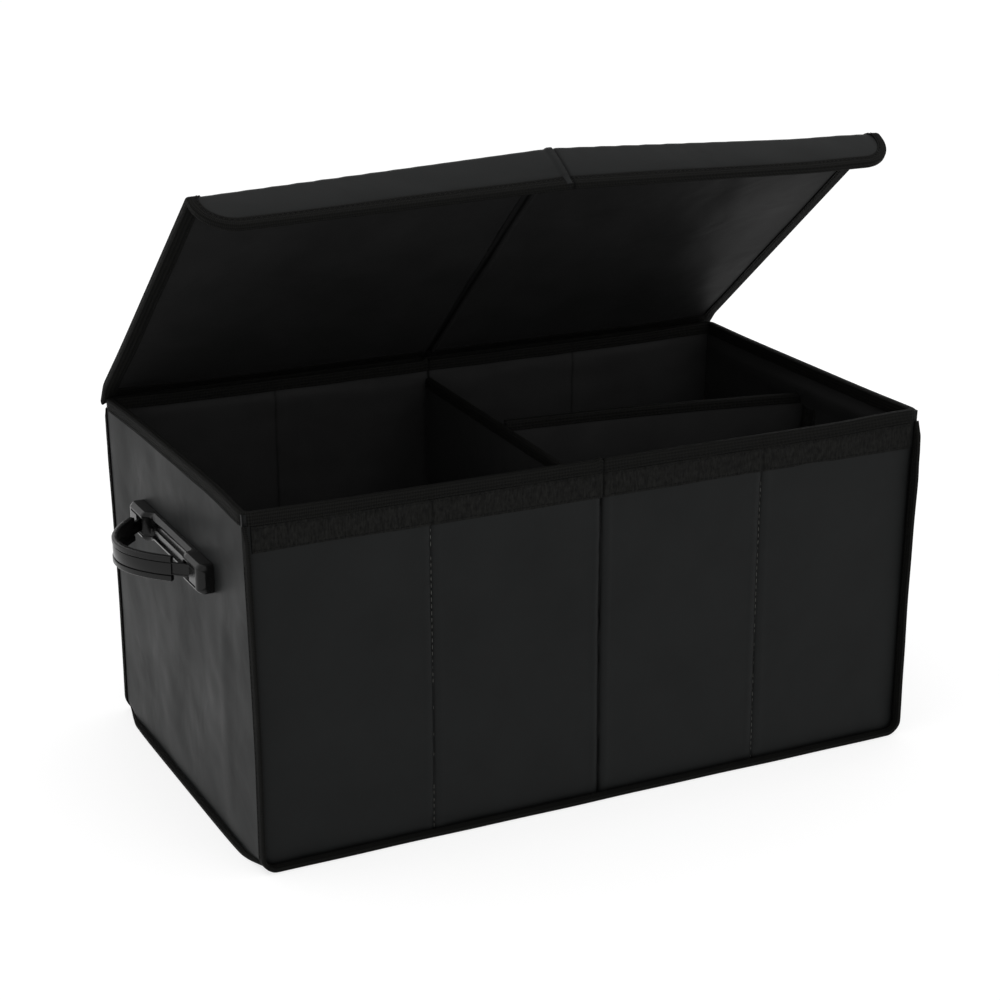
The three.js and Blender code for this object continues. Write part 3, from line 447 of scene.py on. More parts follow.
def slab(name, outer, inner, slot, lie=None, dark=None):
    """A sheet with thickness: two grids of the same size, joined round their edges."""
    rows, columns = outer.shape[:2]
    count = rows * columns
    faces = quads(rows, columns)
    faces += [face[::-1] for face in quads(rows, columns, count)]
    border = list(range(columns))
    border += [i * columns + columns - 1 for i in range(1, rows)]
    border += [(rows - 1) * columns + j for j in range(columns - 2, -1, -1)]
    border += [i * columns for i in range(rows - 2, 0, -1)]
    for a, b in zip(border, border[1:] + border[:1]):
        faces.append([a, b, b + count, a + count])
    points = np.concatenate([outer.reshape(-1, 3), inner.reshape(-1, 3)])
    if lie is not None:
        lie = np.concatenate([lie.reshape(-1, 2)] * 2)
    if dark is not None:
        dark = np.concatenate([dark.ravel()] * 2)
    return make(name, points, faces, slot, lie, dark=dark)


def strand(name, rings, slot, closed=False, crease=SHARP, dark=None):
    """A section swept through rings[station, corner, xyz]; its UV map runs along it and round it."""
    stations, corners = rings.shape[:2]
    faces = quads(stations, corners, wrap_rows=closed, wrap_columns=True)
    if not closed:
        faces.append(list(range(corners)))
        faces.append([(stations - 1) * corners + k for k in range(corners)][::-1])
    middle = rings.mean(1)
    along = np.concatenate([[0], np.cumsum(np.linalg.norm(np.diff(middle, axis=0), axis=1))])
    around = np.concatenate(
        [[0], np.cumsum(np.linalg.norm(np.diff(rings[stations // 2], axis=0), axis=1))]
    )
    lie = np.stack(crossed(along, around), -1)
    return make(name, rings, faces, slot, lie, crease, dark)


def bell(away, width, power=2):
    """1 at 0, falling smoothly to 1/e at the width and on towards 0."""
    return np.exp(-((away / width) ** power))


def smooth(value, start, length):
    """0 up to the start and 1 from start + length on, with soft ends."""
    t = np.clip((value - start) / length, 0, 1)
    return t * t * (3 - 2 * t)


def panel_edge(u, half, power):
    """1 over the middle of a panel, falling to 0 at half to either side."""
    return 1 - np.abs(u / half) ** power


def panel_rim(z, low, power):
    """1 over the middle of a wall panel's height, falling to 0 at its foot and its top."""
    return 1 - np.abs((2 * z - low - WALL_TOP) / (WALL_TOP - low)) ** power


def grid(*axes):
    """Points from their coordinates, each an array or one number for all of them."""
    return np.stack(np.broadcast_arrays(*axes), -1)


def ripple(u, v, size, seed, count=8):
    """A smooth random swell about 1 high whose waves are near size long; the seed fixes it."""
    source = np.random.default_rng(seed)
    total = np.zeros(np.broadcast(u, v).shape)
    for _ in range(count):
        turn, stretch, shift = source.uniform(0, 2 * math.pi), source.uniform(0.65, 1.5), source.uniform(0, 6.3)
        k = 2 * math.pi / (size * stretch)
        total = total + np.sin(k * (u * math.cos(turn) + v * math.sin(turn)) + shift)
    return total / math.sqrt(count)


def stations(low, high, step, *dense):
    """Places from low to high, with a finer step round each (centre, half, step) in dense."""
    places = list(np.linspace(low, high, int(round((high - low) / step)) + 1))
    for centre, half, fine in dense:
        places = [p for p in places if abs(p - centre) > half + fine * 0.5 or p in (low, high)]
        places += [p for p in np.arange(centre - half, centre + half + fine / 2, fine) if low < p < high]
    return np.array(sorted(set(np.round(places, 4))))


def round_corner(centre, radius, start, end, steps=6):
    """Points of an arc between two angles."""
    angle = np.linspace(start, end, steps + 1)
    return grid(centre[0] + radius * np.cos(angle), centre[1] + radius * np.sin(angle))


def folded_tape(width, leg, thickness=TAPE, nose=1.7):
    """Section of a tape folded over an edge: across is -width/2 to width/2, the fold is at leg."""
    half, inner, core = width / 2, width / 2 - thickness, max(nose - thickness, 0.3)
    turn = math.pi / 2
    outer = [[half, 0.0]]
    outer += round_corner((half - nose, leg - nose), nose, 0, turn, 5).tolist()
    outer += round_corner((-half + nose, leg - nose), nose, turn, 2 * turn, 5).tolist()
    outer += [[-half, 0.0]]
    hollow = [[-inner, 0.0]]
    hollow += round_corner((-inner + core, leg - thickness - core), core, 2 * turn, turn, 3).tolist()
    hollow += round_corner((inner - core, leg - thickness - core), core, turn, 0, 3).tolist()
    hollow += [[inner, 0.0]]
    return np.array(outer + hollow)


def opened(points):
    """The soft box as it stands: its top corners pull 4 mm out and up to 2 mm up, and its right wall leans
    3 mm out and stands 2 mm higher. The handles' plates hold the side walls where they are."""
    x, y, z = points.T
    corner = bell(np.hypot(np.abs(x) - RIM_X, np.abs(y) - RIM_Y), 48)
    right = smooth(x, 215, 70)
    held = bell(z - HANDLE_Z, 29, 4) * bell(y, 125, 6)
    out = 4.0 * corner * np.sign(x) + 3.2 * right * (1 - 0.8 * corner)
    out = out * np.clip((z - 90) / 195, 0, 1) ** 1.2 * (1 - held)
    lift = corner * np.where(x < 0, np.where(y < 0, 0.5, 1.6), 2.0) + 1.8 * right * (1 - corner)
    return grid(x + out, y, z + lift * smooth(z, 252, 33))


def sewn(piece, body, *nodes, soft=True):
    """The piece rides on a body and stands for frame nodes; the soft box opens out at the top."""
    if soft and body == "body":
        vertices = piece.data.vertices
        points = np.zeros(len(vertices) * 3)
        vertices.foreach_get("co", points)
        vertices.foreach_set("co", (opened(points.reshape(-1, 3) / MM) * MM).ravel())
        piece.data.update()
    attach(piece, body)
    if nodes:
        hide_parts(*nodes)
    return piece


def as_drawn(points):
    """Left as it is, for the side that a shape is drawn for."""
    return points


def mirrored(points):
    """Turned half round about the upright axis, for the side opposite."""
    return points * np.array([-1.0, -1.0, 1.0])


# ---------------------------------------------------------------- stitches


def stitch_tree():
    """Geometry nodes: one small thread body after another along every line of a mesh."""
    tree = bpy.data.node_groups.get("stitch line")
    if tree:
        return tree
    tree = bpy.data.node_groups.new("stitch line", "GeometryNodeTree")
    face = tree.interface
    face.new_socket("Geometry", in_out="INPUT", socket_type="NodeSocketGeometry")
    for label in ("Pitch", "Length", "Thread"):
        face.new_socket(label, in_out="INPUT", socket_type="NodeSocketFloat")
    face.new_socket("Finish", in_out="INPUT", socket_type="NodeSocketMaterial")
    face.new_socket("Geometry", in_out="OUTPUT", socket_type="NodeSocketGeometry")
    source = add(tree, "NodeGroupInput").outputs
    line = add(tree, "GeometryNodeMeshToCurve", {"Mesh": source["Geometry"]})
    even = add(
        tree, "GeometryNodeResampleCurve", {"Curve": line.outputs[0], "Length": source["Pitch"]}, mode="LENGTH"
    )
    bead = add(tree, "GeometryNodeMeshUVSphere", {"Segments": 6, "Rings": 4, "Radius": 0.5})
    tangent = add(tree, "GeometryNodeInputTangent")
    aim = add(tree, "FunctionNodeAlignRotationToVector", {"Vector": tangent.outputs[0]}, axis="X")
    size = add(
        tree, "ShaderNodeCombineXYZ", {"X": source["Length"], "Y": source["Thread"], "Z": source["Thread"]}
    )
    placed = add(
        tree, "GeometryNodeInstanceOnPoints",
        {
            "Points": even.outputs[0], "Instance": bead.outputs["Mesh"],
            "Rotation": aim.outputs[0], "Scale": size.outputs[0],
        },
    )
    real = add(tree, "GeometryNodeRealizeInstances", {"Geometry": placed.outputs[0]})
    smooth = add(tree, "GeometryNodeSetShadeSmooth", {"Geometry": real.outputs[0]})
    painted = add(
        tree, "GeometryNodeSetMaterial", {"Geometry": smooth.outputs[0], "Material": source["Finish"]}
    )
    add(tree, "NodeGroupOutput", {"Geometry": painted.outputs[0]})
    return tree


def stitches(name, lines, slot="thread", pitch=None):
    """Rows of stitches along lines of points in millimetres, as one plain mesh."""
    points, edges = [], []
    for line in lines:
        first = len(points)
        points += (np.asarray(line, float) * MM).tolist()
        edges += [(first + i, first + i + 1) for i in range(len(line) - 1)]
    mesh = bpy.data.meshes.new(name + "_lines")
    mesh.from_pydata(points, edges, [])
    guide = linked(name + "_lines", mesh)
    tree = stitch_tree()
    modifier = guide.modifiers.new("stitches", "NODES")
    modifier.node_group = tree
    key = {item.name: item.identifier for item in tree.interface.items_tree if item.in_out == "INPUT"}
    pitch = pitch or sizes().stitch_pitch
    modifier[key["Pitch"]] = pitch
    modifier[key["Length"]] = sizes().stitch_length * (pitch / sizes().stitch_pitch)
    modifier[key["Thread"]] = sizes().thread_width
    modifier[key["Finish"]] = finish_of(slot)
    drawn = guide.evaluated_get(bpy.context.evaluated_depsgraph_get())
    plain = bpy.data.meshes.new_from_object(drawn)
    plain.name = name
    bpy.data.objects.remove(guide)
    piece = linked(name, plain)
    return piece


# ---------------------------------------------------------------- walls


def field_crown(x, limits):
    """1 in the middle of each field between two limits and 0 at them, with full shoulders."""
    crown = np.zeros_like(x)
    for low, high in zip(limits, limits[1:]):
        t = (2 * x - low - high) / (high - low)
        inside = np.abs(t) <= 1
        crown[inside] = 1 - np.abs(t[inside]) ** 5
    return crown


def seam_line(index, z):
    """Where a seam runs at a height: it wanders by half a millimetre to either side."""
    return SEAMS[index] + 0.5 * np.sin(z / 55 + index)


def seam_relief(x, z, fold, groove, seed):
    """How far the cloth sinks at the three seams, with the lips and puckers beside them, and the painted shade in
    the fold and seam grooves.
    """
    relief, dark = np.zeros_like(x), np.zeros_like(x)
    for i, at in enumerate(SEAMS):
        away = np.abs(x - seam_line(i, z))
        depth, width = (fold, 1.7) if at == 0 else (groove, 1.2)
        relief -= depth * bell(away, width, 1.4)
        relief += 0.6 * bell(away - 5.5, 3) * (1 if at == 0 else 0.6)
        relief += 0.25 * ripple(z, 0 * z, 17, seed + i, 5) * bell(away, 11)
        # Painted shade down the centre fold and, fainter and narrower, down the stitched seams.
        dark = np.maximum(dark, (1.0 if at == 0 else 0.55) * bell(away, 1.3 if at == 0 else 0.8))
    return relief, dark


def squeeze_corners(x, z, low, radius, half):
    """The panel's outer fields drawn in so that its lower corners are round."""
    drop = np.clip(radius - (z - low), 0, radius)
    inset = radius - np.sqrt(radius**2 - drop**2)
    keep = 160.0  # nothing moves nearer to the middle than this
    far = np.abs(x) > keep
    shifted = np.where(far, keep + (np.abs(x) - keep) * (half - inset - keep) / (half - keep), np.abs(x))
    return np.sign(x) * shifted


def wall_cloth(seed):
    """The long outer panel: four crowned fields, two stitched seams and a deep centre fold."""
    inset, low = 1.1, 1.0  # the cloth ends this far inside the bound seams
    half = WALL_X - inset
    dense = [(at, 9, 0.75) for at in SEAMS]
    dense += [(side * (half - 5), 4.5, 1.0) for side in (-1, 1)]
    x, z = crossed(
        stations(-half, half, 5.5, *dense), stations(low, WALL_TOP, 3.6, (low + 5, 4.5, 1.0))
    )
    edge = panel_rim(z, low, 8)
    rise = millimetres("cloth_crown") * field_crown(x, [-half, *SEAMS, half]) * edge
    relief, dark = seam_relief(x, z, millimetres("fold_depth"), millimetres("seam_depth"), seed)
    rise += relief
    rise += (0.35 * ripple(x, z, 120, seed + 7) + 0.12 * ripple(x, z, 34, seed + 8)) * edge
    # Folds that fan out of the lower corners, where the seam pulls the cloth round.
    fan = bell(half - np.abs(x), 60) * bell(z - low, 50)
    rise += 0.5 * fan * np.sin((half - np.abs(x)) / 7 - (z - low) / 11)
    rise = np.clip(rise, -millimetres("fold_depth"), 2.6)
    rise = np.where(rise > 0, rise * np.clip((WALL_TOP - 6 - z) / 25, 0, 1), rise)
    face = squeeze_corners(x, z, low, CORNER - inset, half)
    # Shade in the angle between the cloth and the bound seam round it.
    gap = np.minimum(np.maximum(RIM_X - FIN - np.abs(x), 0), np.maximum(z - FIN, 0))
    corner = np.hypot(np.maximum(np.abs(face) - (RIM_X - CORNER), 0), np.maximum(CORNER - z, 0))
    inside = (np.abs(face) > RIM_X - CORNER) & (z < CORNER)
    gap = np.where(inside, np.maximum(CORNER - FIN - corner, 0), gap)
    dark = np.maximum(dark, 0.9 * bell(gap, 2.4) * np.clip((WALL_TOP - 20 - z) / 12, 0.35, 1))
    outer = grid(face, -WALL_Y - rise, z)
    inner = grid(face, -WALL_Y + CLOTH - np.minimum(rise, 0.0), z)
    return outer, inner, dark


def upright_fin(rise, depth=8.0):
    """Rings of the tape that binds a long wall's seam: down one corner, along the floor and up. Under the
    rim it grows from nothing to its depth; rise is the length that this takes."""
    section = folded_tape(FIN, 1.0, nose=0.9)
    half, low, radius, top = RIM_X - FIN / 2, FIN / 2, CORNER - FIN / 2, RIM_LOW + 0.6
    path = [(-half, z, -1, 0) for z in stations(low + radius, top, 6, (top - 24, 20, 2.0))[::-1]]
    for a in np.linspace(math.pi, 1.5 * math.pi, 10)[1:]:
        cx, cz = -half + radius, low + radius
        path.append((cx + radius * math.cos(a), cz + radius * math.sin(a), math.cos(a), math.sin(a)))
    path += [(x, low, 0, -1) for x in stations(-half + radius, 0, 8)[1:]]
    path += [(-x, z, -nx, nz) for x, z, nx, nz in path[-2::-1]]
    rings, dark = [], []
    for order, (x, z, nx, nz) in enumerate(path):
        drop = RIM_TOP - z
        reach = np.interp(drop, [10, 11, 11 + 0.35 * rise, 11 + rise, 60], [1.9, 2.2, 4.2, depth - 1.0, depth])
        wander = (0.3 * math.sin(order / 4.7) + 0.2 * math.sin(order / 1.9)) * min(reach / depth, 1)
        rings.append([
            [
                x + nx * across + 0.5 * wander * share * abs(nz),
                -WALL_Y - SEWN_ON - share * (reach - SEWN_ON + wander),
                z + nz * across,
            ]
            for across, share in section
        ])
        # Painted shade on the fin's face towards the middle of the wall, darkest where it meets the cloth.
        dark.append([0.8 * math.exp(-((share * reach / 1.6) ** 2)) * (across < 0) for across, share in section])
    rings = np.array(rings)
    rings[..., 2] = np.maximum(rings[..., 2], 0.0)
    return rings, np.array(dark)


def gusset_radius(y):
    """Radius of the long edge between a side and the base: it opens out where the round corners start."""
    return 2.5 + (CORNER - 3.5) * smooth(np.abs(y), 128, 34)


def side_cloth(seed):
    """A side's outer panel, calm round the handle that is screwed through it."""
    half, low = WALL_Y - 0.2, 1.0
    y, level = crossed(
        stations(-half, half, 4.5, (-half + 5, 4.5, 1.0), (half - 5, 4.5, 1.0)),
        np.concatenate([np.linspace(0, 0.05, 9)[:-1], np.linspace(0.05, 1, 66)])
    )
    bend = gusset_radius(y)
    start = low + bend * (1 - math.sqrt(0.5))
    z = start + (WALL_TOP - start) * level
    depth = np.clip(bend - (z - low), 0, bend)
    tuck = bend - np.sqrt(bend**2 - depth**2)
    edge = panel_edge(y, half, 7) * panel_rim(z, low, 8)
    away = np.hypot(np.maximum(np.abs(y) - 88, 0), np.maximum(np.abs(z - HANDLE_Z) - 13, 0))
    calm = 1 - bell(away, 26)
    rise = (0.9 + 0.75 * ripple(y, z * 0.35, 95, seed) + 0.16 * ripple(y, z, 38, seed + 1)) * edge * calm
    # The board's edge shows through as a long upright swell near the rear.
    rise += 1.0 * bell(y - 104, 11) * edge * calm
    rise = np.clip(rise, 0.0, 2.6) * np.clip((WALL_TOP - 6 - z) / 20, 0, 1)
    outer = grid(WALL_X + rise - tuck, y, z)
    inner = grid(WALL_X - CLOTH - tuck, y, z + CLOTH * (tuck > 0))
    # Painted shade along the foot, beside the foot tape, and down both ends beside the bound seams.
    foot = bell(np.maximum(z - FIN, 0), 2.5) * np.clip((150 - np.abs(y)) / 40, 0, 1)
    dark = np.maximum(0.85 * foot, 0.6 * bell(half - np.abs(y), 2.2))
    return outer, inner, dark


def foot_fin():
    """Rings of the tape along the foot of a side: it bows out and dies away into both corners."""
    section = folded_tape(FIN, 1.0, nose=0.9)
    rings = []
    reach_y = 163.5
    for y in stations(-reach_y, reach_y, 5, (-158, 5, 1.5), (158, 5, 1.5)):
        bend = float(gusset_radius(y))
        inset = bend * (1 - math.sqrt(0.5))
        t = abs(y) / reach_y
        reach = 4.9 * max(1 - t**6, 0.0) ** 0.7 + 0.5
        lean = math.radians(45) * (bend - 2.5) / (CORNER - 3.5)
        rx, rz = WALL_X + 0.2 - inset, 1.0 + inset + (FIN / 2 - 1.0 - 0.73) * (1 - lean)
        ring = []
        for across, share in section:
            out = share * reach
            ring.append([
                rx + out * math.cos(lean) + across * math.sin(lean), y,
                max(rz - out * math.sin(lean) + across * math.cos(lean), 0.0),
            ])
        rings.append(ring)
    return np.array(rings)


def base_cloth():
    """The outer cloth under the box, turned up along the sides into the gussets' rounded edges."""
    y, t = crossed(stations(-WALL_Y + 1.2, WALL_Y - 1.2, 6), np.linspace(-1, 1, 81))
    bend = gusset_radius(y)
    reach = WALL_X - bend * (1 - math.sqrt(0.5))
    x = np.sign(t) * np.abs(t) ** 0.6 * reach
    past = np.clip(np.abs(x) - (WALL_X - bend), 0, None)
    z = 1.0 + bend - np.sqrt(np.maximum(bend**2 - past**2, 0)) + 0.25 * bell(x, 4)
    under = grid(x, y, z)
    over = grid(x - np.sign(x) * CLOTH * (past > 0), y, z + CLOTH)
    return over, under


def rim_ring():
    """Rings of the tape folded over the walls' top edge, all the way round."""
    section = folded_tape(EDGE, RIM_TOP - RIM_LOW, nose=2.1)
    x, y = RIM_X - EDGE / 2, RIM_Y - EDGE / 2
    loops = []
    for across, high in section:
        radius = max(8.0 + 0.9 * (across - EDGE / 2), 0.8)
        cx, cy = x + across - radius, y + across - radius
        loop = []
        corners = ((cx, cy), (-cx, cy), (-cx, -cy), (cx, -cy))
        for k, corner in enumerate(corners):
            loop += round_corner(corner, radius, k * math.pi / 2, (k + 1) * math.pi / 2, 4).tolist()
            turn = (k + 1) * math.pi / 2
            after = np.array(corners[(k + 1) % 4]) + radius * np.array([math.cos(turn), math.sin(turn)])
            share = np.linspace(0, 1, 34)
            if k % 2 == 0:
                # The long sides have more points where the seams' pleats and the centre fold are.
                fine = np.array([0.245, 0.2465, 0.248, 0.2495, 0.2525, 0.254])
                centre = 0.5 + np.linspace(-0.012, 0.012, 17)
                share = np.sort(np.concatenate([np.linspace(0, 1, 62), fine, 1 - fine, centre]))
            last = np.array(loop[-1])
            loop += [(last * (1 - s) + after * s).tolist() for s in share[1:-1]]
        loops.append([[a, b, RIM_LOW + high] for a, b in loop])
    rings = np.array(loops).transpose(1, 0, 2)
    place = rings.mean(1, keepdims=True)
    wave = 0.16 * ripple(place[..., 0], place[..., 1], 60, 31)
    low = np.clip((RIM_LOW + 3 - rings[..., 2]) / 3, 0, 1)
    rings[..., 2] += wave * low + 0.1 * wave
    rings[..., 2] = np.minimum(rings[..., 2], RIM_TOP)
    # The centre fold pinches the tape into a small peak with a cleft beside it.
    across = place[..., 0]
    long_side = np.abs(place[..., 1]) > y - 4
    peak = 1.6 * bell(across + 2.2, 2.6) - 1.4 * bell(across - 0.6, 1.1)
    rings[..., 2] += peak * long_side * (rings[..., 2] > RIM_TOP - 3)
    # Painted shade in the cleft beside the peak, and fainter at the two stitched seams.
    dark = 0.95 * bell(across - 0.6, 0.9)
    for at in (SEAMS[0], SEAMS[2]):
        dark = dark + 0.5 * bell(across - at, 0.7)
    return rings, np.broadcast_to(dark * long_side, rings.shape[:2])


def lining(half, low, seed, upright_seams, slack=1.3):
    """A wall's lining seen from inside, drawn for the back wall with +Y outward."""
    dense = [(at, 9, 0.9) for at in SEAMS] if upright_seams else []
    x, z = crossed(
        stations(-half, half, 6, *dense), stations(low, WALL_TOP, 5, (WALL_TOP - 30, 20, 2))
    )
    edge = panel_edge(x, half, 10) * panel_rim(z, low, 10)
    rise = (0.4 + 0.4 * ripple(x, z, 80, seed) + 0.22 * ripple(x, z * 2.2, 46, seed + 1)) * edge
    dark = np.zeros_like(x)
    if upright_seams:
        rise += 0.7 * field_crown(x, [-half, *SEAMS, half]) * edge
        relief, dark = seam_relief(x, z, 0.5, 0.8, seed + 3)
        rise += relief + 0.5 * bell(np.abs(x) - 9, 4) * edge
    # A slack fold just under the rim, where the lining hangs from the tape: steep above, soft below.
    sag = WALL_TOP - 15 - 4 * (1 - (x / half) ** 2) + 1.5 * np.sin(x / 47 + seed)
    away = z - sag
    fold = bell(away, np.where(away > 0, 4.2, 13.0))
    rise += slack * fold * (0.75 + 0.25 * np.sin(x / 60 + seed)) * edge
    rise = np.clip(rise, -0.9, 6.4)
    rise = np.where(rise > 0, rise * np.clip((WALL_TOP - 9 - z) / 4, 0, 1), rise)
    return x, z, rise, dark


class ORGANIZER_OT_walls(bpy.types.Operator):
    """Sews the outer cloth of the four walls and the base, with their bound seams"""

    bl_idname = "organizer.walls"
    bl_label = "Walls"

    def execute(self, context):
        for side, turn, seed in (("front", as_drawn, 11), ("back", mirrored, 23)):
            outer, inner, dark = wall_cloth(seed)
            cloth = slab(f"{side}_cloth", turn(outer), turn(inner), "outer_cloth", dark=dark)
            sewn(cloth, "body", f"{side}_cover")
            rings, dark = upright_fin(6 if side == "back" else 9)
            sewn(strand(f"{side}_tape", turn(rings), "tape", dark=dark), "body", f"{side}_binding")
        for side, turn, seed in (("right", as_drawn, 41), ("left", mirrored, 53)):
            outer, inner, dark = side_cloth(seed)
            cloth = slab(f"{side}_cloth", turn(outer), turn(inner), "outer_cloth", dark=dark)
            sewn(cloth, "body", f"{side}_cover")
            sewn(strand(f"{side}_foot_tape", turn(foot_fin()), "tape"), "body", f"{side}_foot_binding")
            self.stiffener(side, 1 if side == "right" else -1)
        over, under = base_cloth()
        cloth = sewn(slab("base_cloth", over, under, "outer_cloth"), "body", "base_cover")
        return {"FINISHED"}

    def stiffener(self, side, turn):
        """The side's board with its plate window, and half the base board, trimmed for the round corners."""
        trim, play = 14, 0.4
        x, y, z = (span(f"{side}_board", i) for i in range(3))
        gy, gz = crossed(stations(*y, 11), stations(*z, 11))
        board = slab(f"{side}_stiffener", grid(x[1], gy, gz), grid(x[0], gy, gz), "board")
        (y0, y1), (z0, z1) = (span(f"{side}_handle_plate", i) for i in (1, 2))
        cuts = [((x[0] - 1, y0 - play, z0 - play), (x[1] + 1, y1 + play, z1 + play))]
        for end in (-1, 1):
            inner, outer = end * (y[1] - 2 * trim), end * (y[1] + 1)
            cuts.append(((x[0] - 1, inner, z[0] - 1), (x[1] + 1, outer, z[0] + trim)))
        carve(board, cuts)
        sewn(board, "body", f"{side}_board")
        x, y, z = (span(f"base_board_{side}", i) for i in range(3))
        gx, gy = crossed(np.array(x), np.array(y))
        board = slab(f"base_stiffener_{side}", grid(gx, gy, z[1]), grid(gx, gy, z[0]), "board")
        far = max(x, key=abs)
        cuts = []
        for end in (-1, 1):
            inner, outer = end * (y[1] - 2 * trim), end * (y[1] + 1)
            cuts.append(((far - turn * trim, inner, z[0] - 1), (far + turn, outer, z[1] + 1)))
        carve(board, cuts)
        sewn(board, "body", f"base_board_{side}")


class ORGANIZER_OT_lining(bpy.types.Operator):
    """Hangs the lining inside the four walls and lays it on the base"""

    bl_idname = "organizer.lining"
    bl_label = "Lining"

    def execute(self, context):
        low = INNER_Z - CLOTH
        for side, turn, seed in (("back", as_drawn, 61), ("front", mirrored, 67)):
            x, z, rise, dark = lining(INNER_X - 0.1, low, seed, True)
            outer = grid(x, INNER_Y - rise, z)
            inner = grid(x, INNER_Y + CLOTH + np.maximum(-rise, 0), z)
            cloth = slab(f"{side}_lining", turn(outer), turn(inner), "inner_cloth", dark=dark)
            sewn(cloth, "body", f"{side}_liner")
        for side, turn, seed in (("right", as_drawn, 71), ("left", mirrored, 79)):
            y, z, rise, dark = lining(INNER_Y - 0.3, low, seed, False, slack=6.0)
            rise = np.maximum(rise, 0)
            outer = grid(INNER_X - rise, y, z)
            inner = grid(INNER_X + CLOTH, y, z)
            cloth = slab(f"{side}_lining", turn(outer), turn(inner), "inner_cloth", dark=dark)
            sewn(cloth, "body", f"{side}_liner")
        x, y = crossed(
            stations(-INNER_X + 0.3, INNER_X - 0.3, 8, (0, 9, 1)), stations(-INNER_Y + 0.3, INNER_Y - 0.3, 8)
        )
        edge = panel_edge(x, INNER_X, 10) * panel_edge(y, INNER_Y, 10)
        rise = (0.15 + 0.12 * ripple(x, y, 90, 83)) * edge - 0.5 * bell(x, 3)
        rise = np.minimum(rise, 0.28)
        top = grid(x, y, INNER_Z + rise)
        under = grid(x, y, INNER_Z - CLOTH + np.minimum(rise, 0))
        # Painted shade down the fold in the middle of the base.
        dark = 0.8 * bell(x, 1.5)
        cloth = sewn(slab("base_lining", top, under, "inner_cloth", dark=dark), "body", "base_liner")
        return {"FINISHED"}


class ORGANIZER_OT_rim(bpy.types.Operator):
    """Folds the tape over the rim and sews the loop strip under it"""

    bl_idname = "organizer.rim"
    bl_label = "Rim and loop strip"

    def execute(self, context):
        rings, dark = rim_ring()
        sewn(strand("rim_tape", rings, "tape", closed=True, dark=dark), "body", "rim_binding")
        low, high = span("loop_strip", 2)
        right = span("loop_strip", 0)[1]
        dense = [(at, 4, 0.7) for at in SEAMS]
        x, z = crossed(stations(-right, right, 3.2, *dense), stations(low, high, 1.6))
        wave = 0.25 * ripple(x, z, 40, 91)
        rim = np.clip(np.minimum(z - low, high - z) / 1.5, 0, 1)
        rise = 0.75 + 0.35 * np.sqrt(rim) + 0.12 * wave * rim
        shift = 0.35 * ripple(x, 0 * x, 150, 93) * np.clip((high - z) / 20, 0, 1)
        # Painted shade along the strip's top edge under the rim tape, and in the grooves at the seams.
        dark = 0.5 * bell(high - z, 0.8)
        for at in SEAMS:
            away = np.abs(x - at - 0.3)
            rise = rise - (0.75 if at == 0 else 0.35) * bell(away, 0.9)
            rise = rise + 0.5 * bell(away - 3, 1.6) * (1 if at == 0 else 0.4)
            dark = np.maximum(dark, (1.0 if at == 0 else 0.6) * bell(away, 0.8))
        face = -WALL_Y - SEWN_ON
        outer = grid(x, face - rise, z + shift)
        inner = grid(x, face, z + shift)
        sewn(slab("loop_tape", outer, inner, "hook_loop", dark=dark), "body", "loop_strip")
        return {"FINISHED"}


# ---------------------------------------------------------------- dividers


CREST_LEG = 8.0  # how far the tape on a divider's crest reaches down
DIVIDER_REACH, PARTITION_REACH = 159, 283  # from the middle of the box to the walls


def divider_crest(s):
    """The divider is sewn in higher at the back."""
    return 4.4 + 4.3 * s / DIVIDER_REACH


def partition_crest(s):
    """The partition rides up where its tab holds it to the divider."""
    return 0.5 + 7.8 * (1 - (s / PARTITION_REACH) ** 2)


def partition_place(s, across, z):
    """A point s along the partition and so far across it, where it stands askew in the box."""
    cosine, sine = math.cos(PARTITION_SKEW), math.sin(PARTITION_SKEW)
    return [s * cosine - across * sine, PARTITION_Y + s * sine + across * cosine, z]


def divider_shapes(length_low, length_high, place, low, top, seed, crest):
    """Cloth sleeve and crest tape of one divider, run along its own axis and put in place."""
    # The sleeve is 4.6 mm thick outside and open at the foot, with 2.8 mm of room for the board.
    section = [
        [-2.3, low], [-2.3, top - 2], [-1.9, top - 1.2], [-1.2, top - 1.0], [1.2, top - 1.0], [1.9, top - 1.2],
        [2.3, top - 2], [2.3, low], [1.4, low], [1.4, top - 2.2], [-1.4, top - 2.2], [-1.4, low],
    ]
    fine = []
    for (a, b), (c, d) in zip(section, section[1:] + section[:1]):
        steps = max(int(abs(d - b) // 9), 1)
        fine += [[a + (c - a) * k / steps, b + (d - b) * k / steps] for k in range(steps)]
    fold = folded_tape(EDGE, CREST_LEG, nose=2.2)

    def ring(points, s, swell):
        rings = []
        for across, z in points:
            share = float(np.clip((z - low) / (top - low), 0, 1))
            puff = swell * (0.5 * float(ripple(np.array(s), np.array(z), 70, seed)) + 0.4)
            puff *= math.sin(math.pi * share) ** 0.6
            swollen = across + (math.copysign(puff, across) if abs(across) > 2 else 0)
            rings.append(place(s, swollen, z + crest(s) * share**3))
        return rings

    along = stations(length_low, length_high, 6)
    sleeve = np.array([ring(fine, s, 0.9) for s in along])
    tape = np.array([ring([[a, top - CREST_LEG + b] for a, b in fold], s, 0.0) for s in along])
    return sleeve, tape


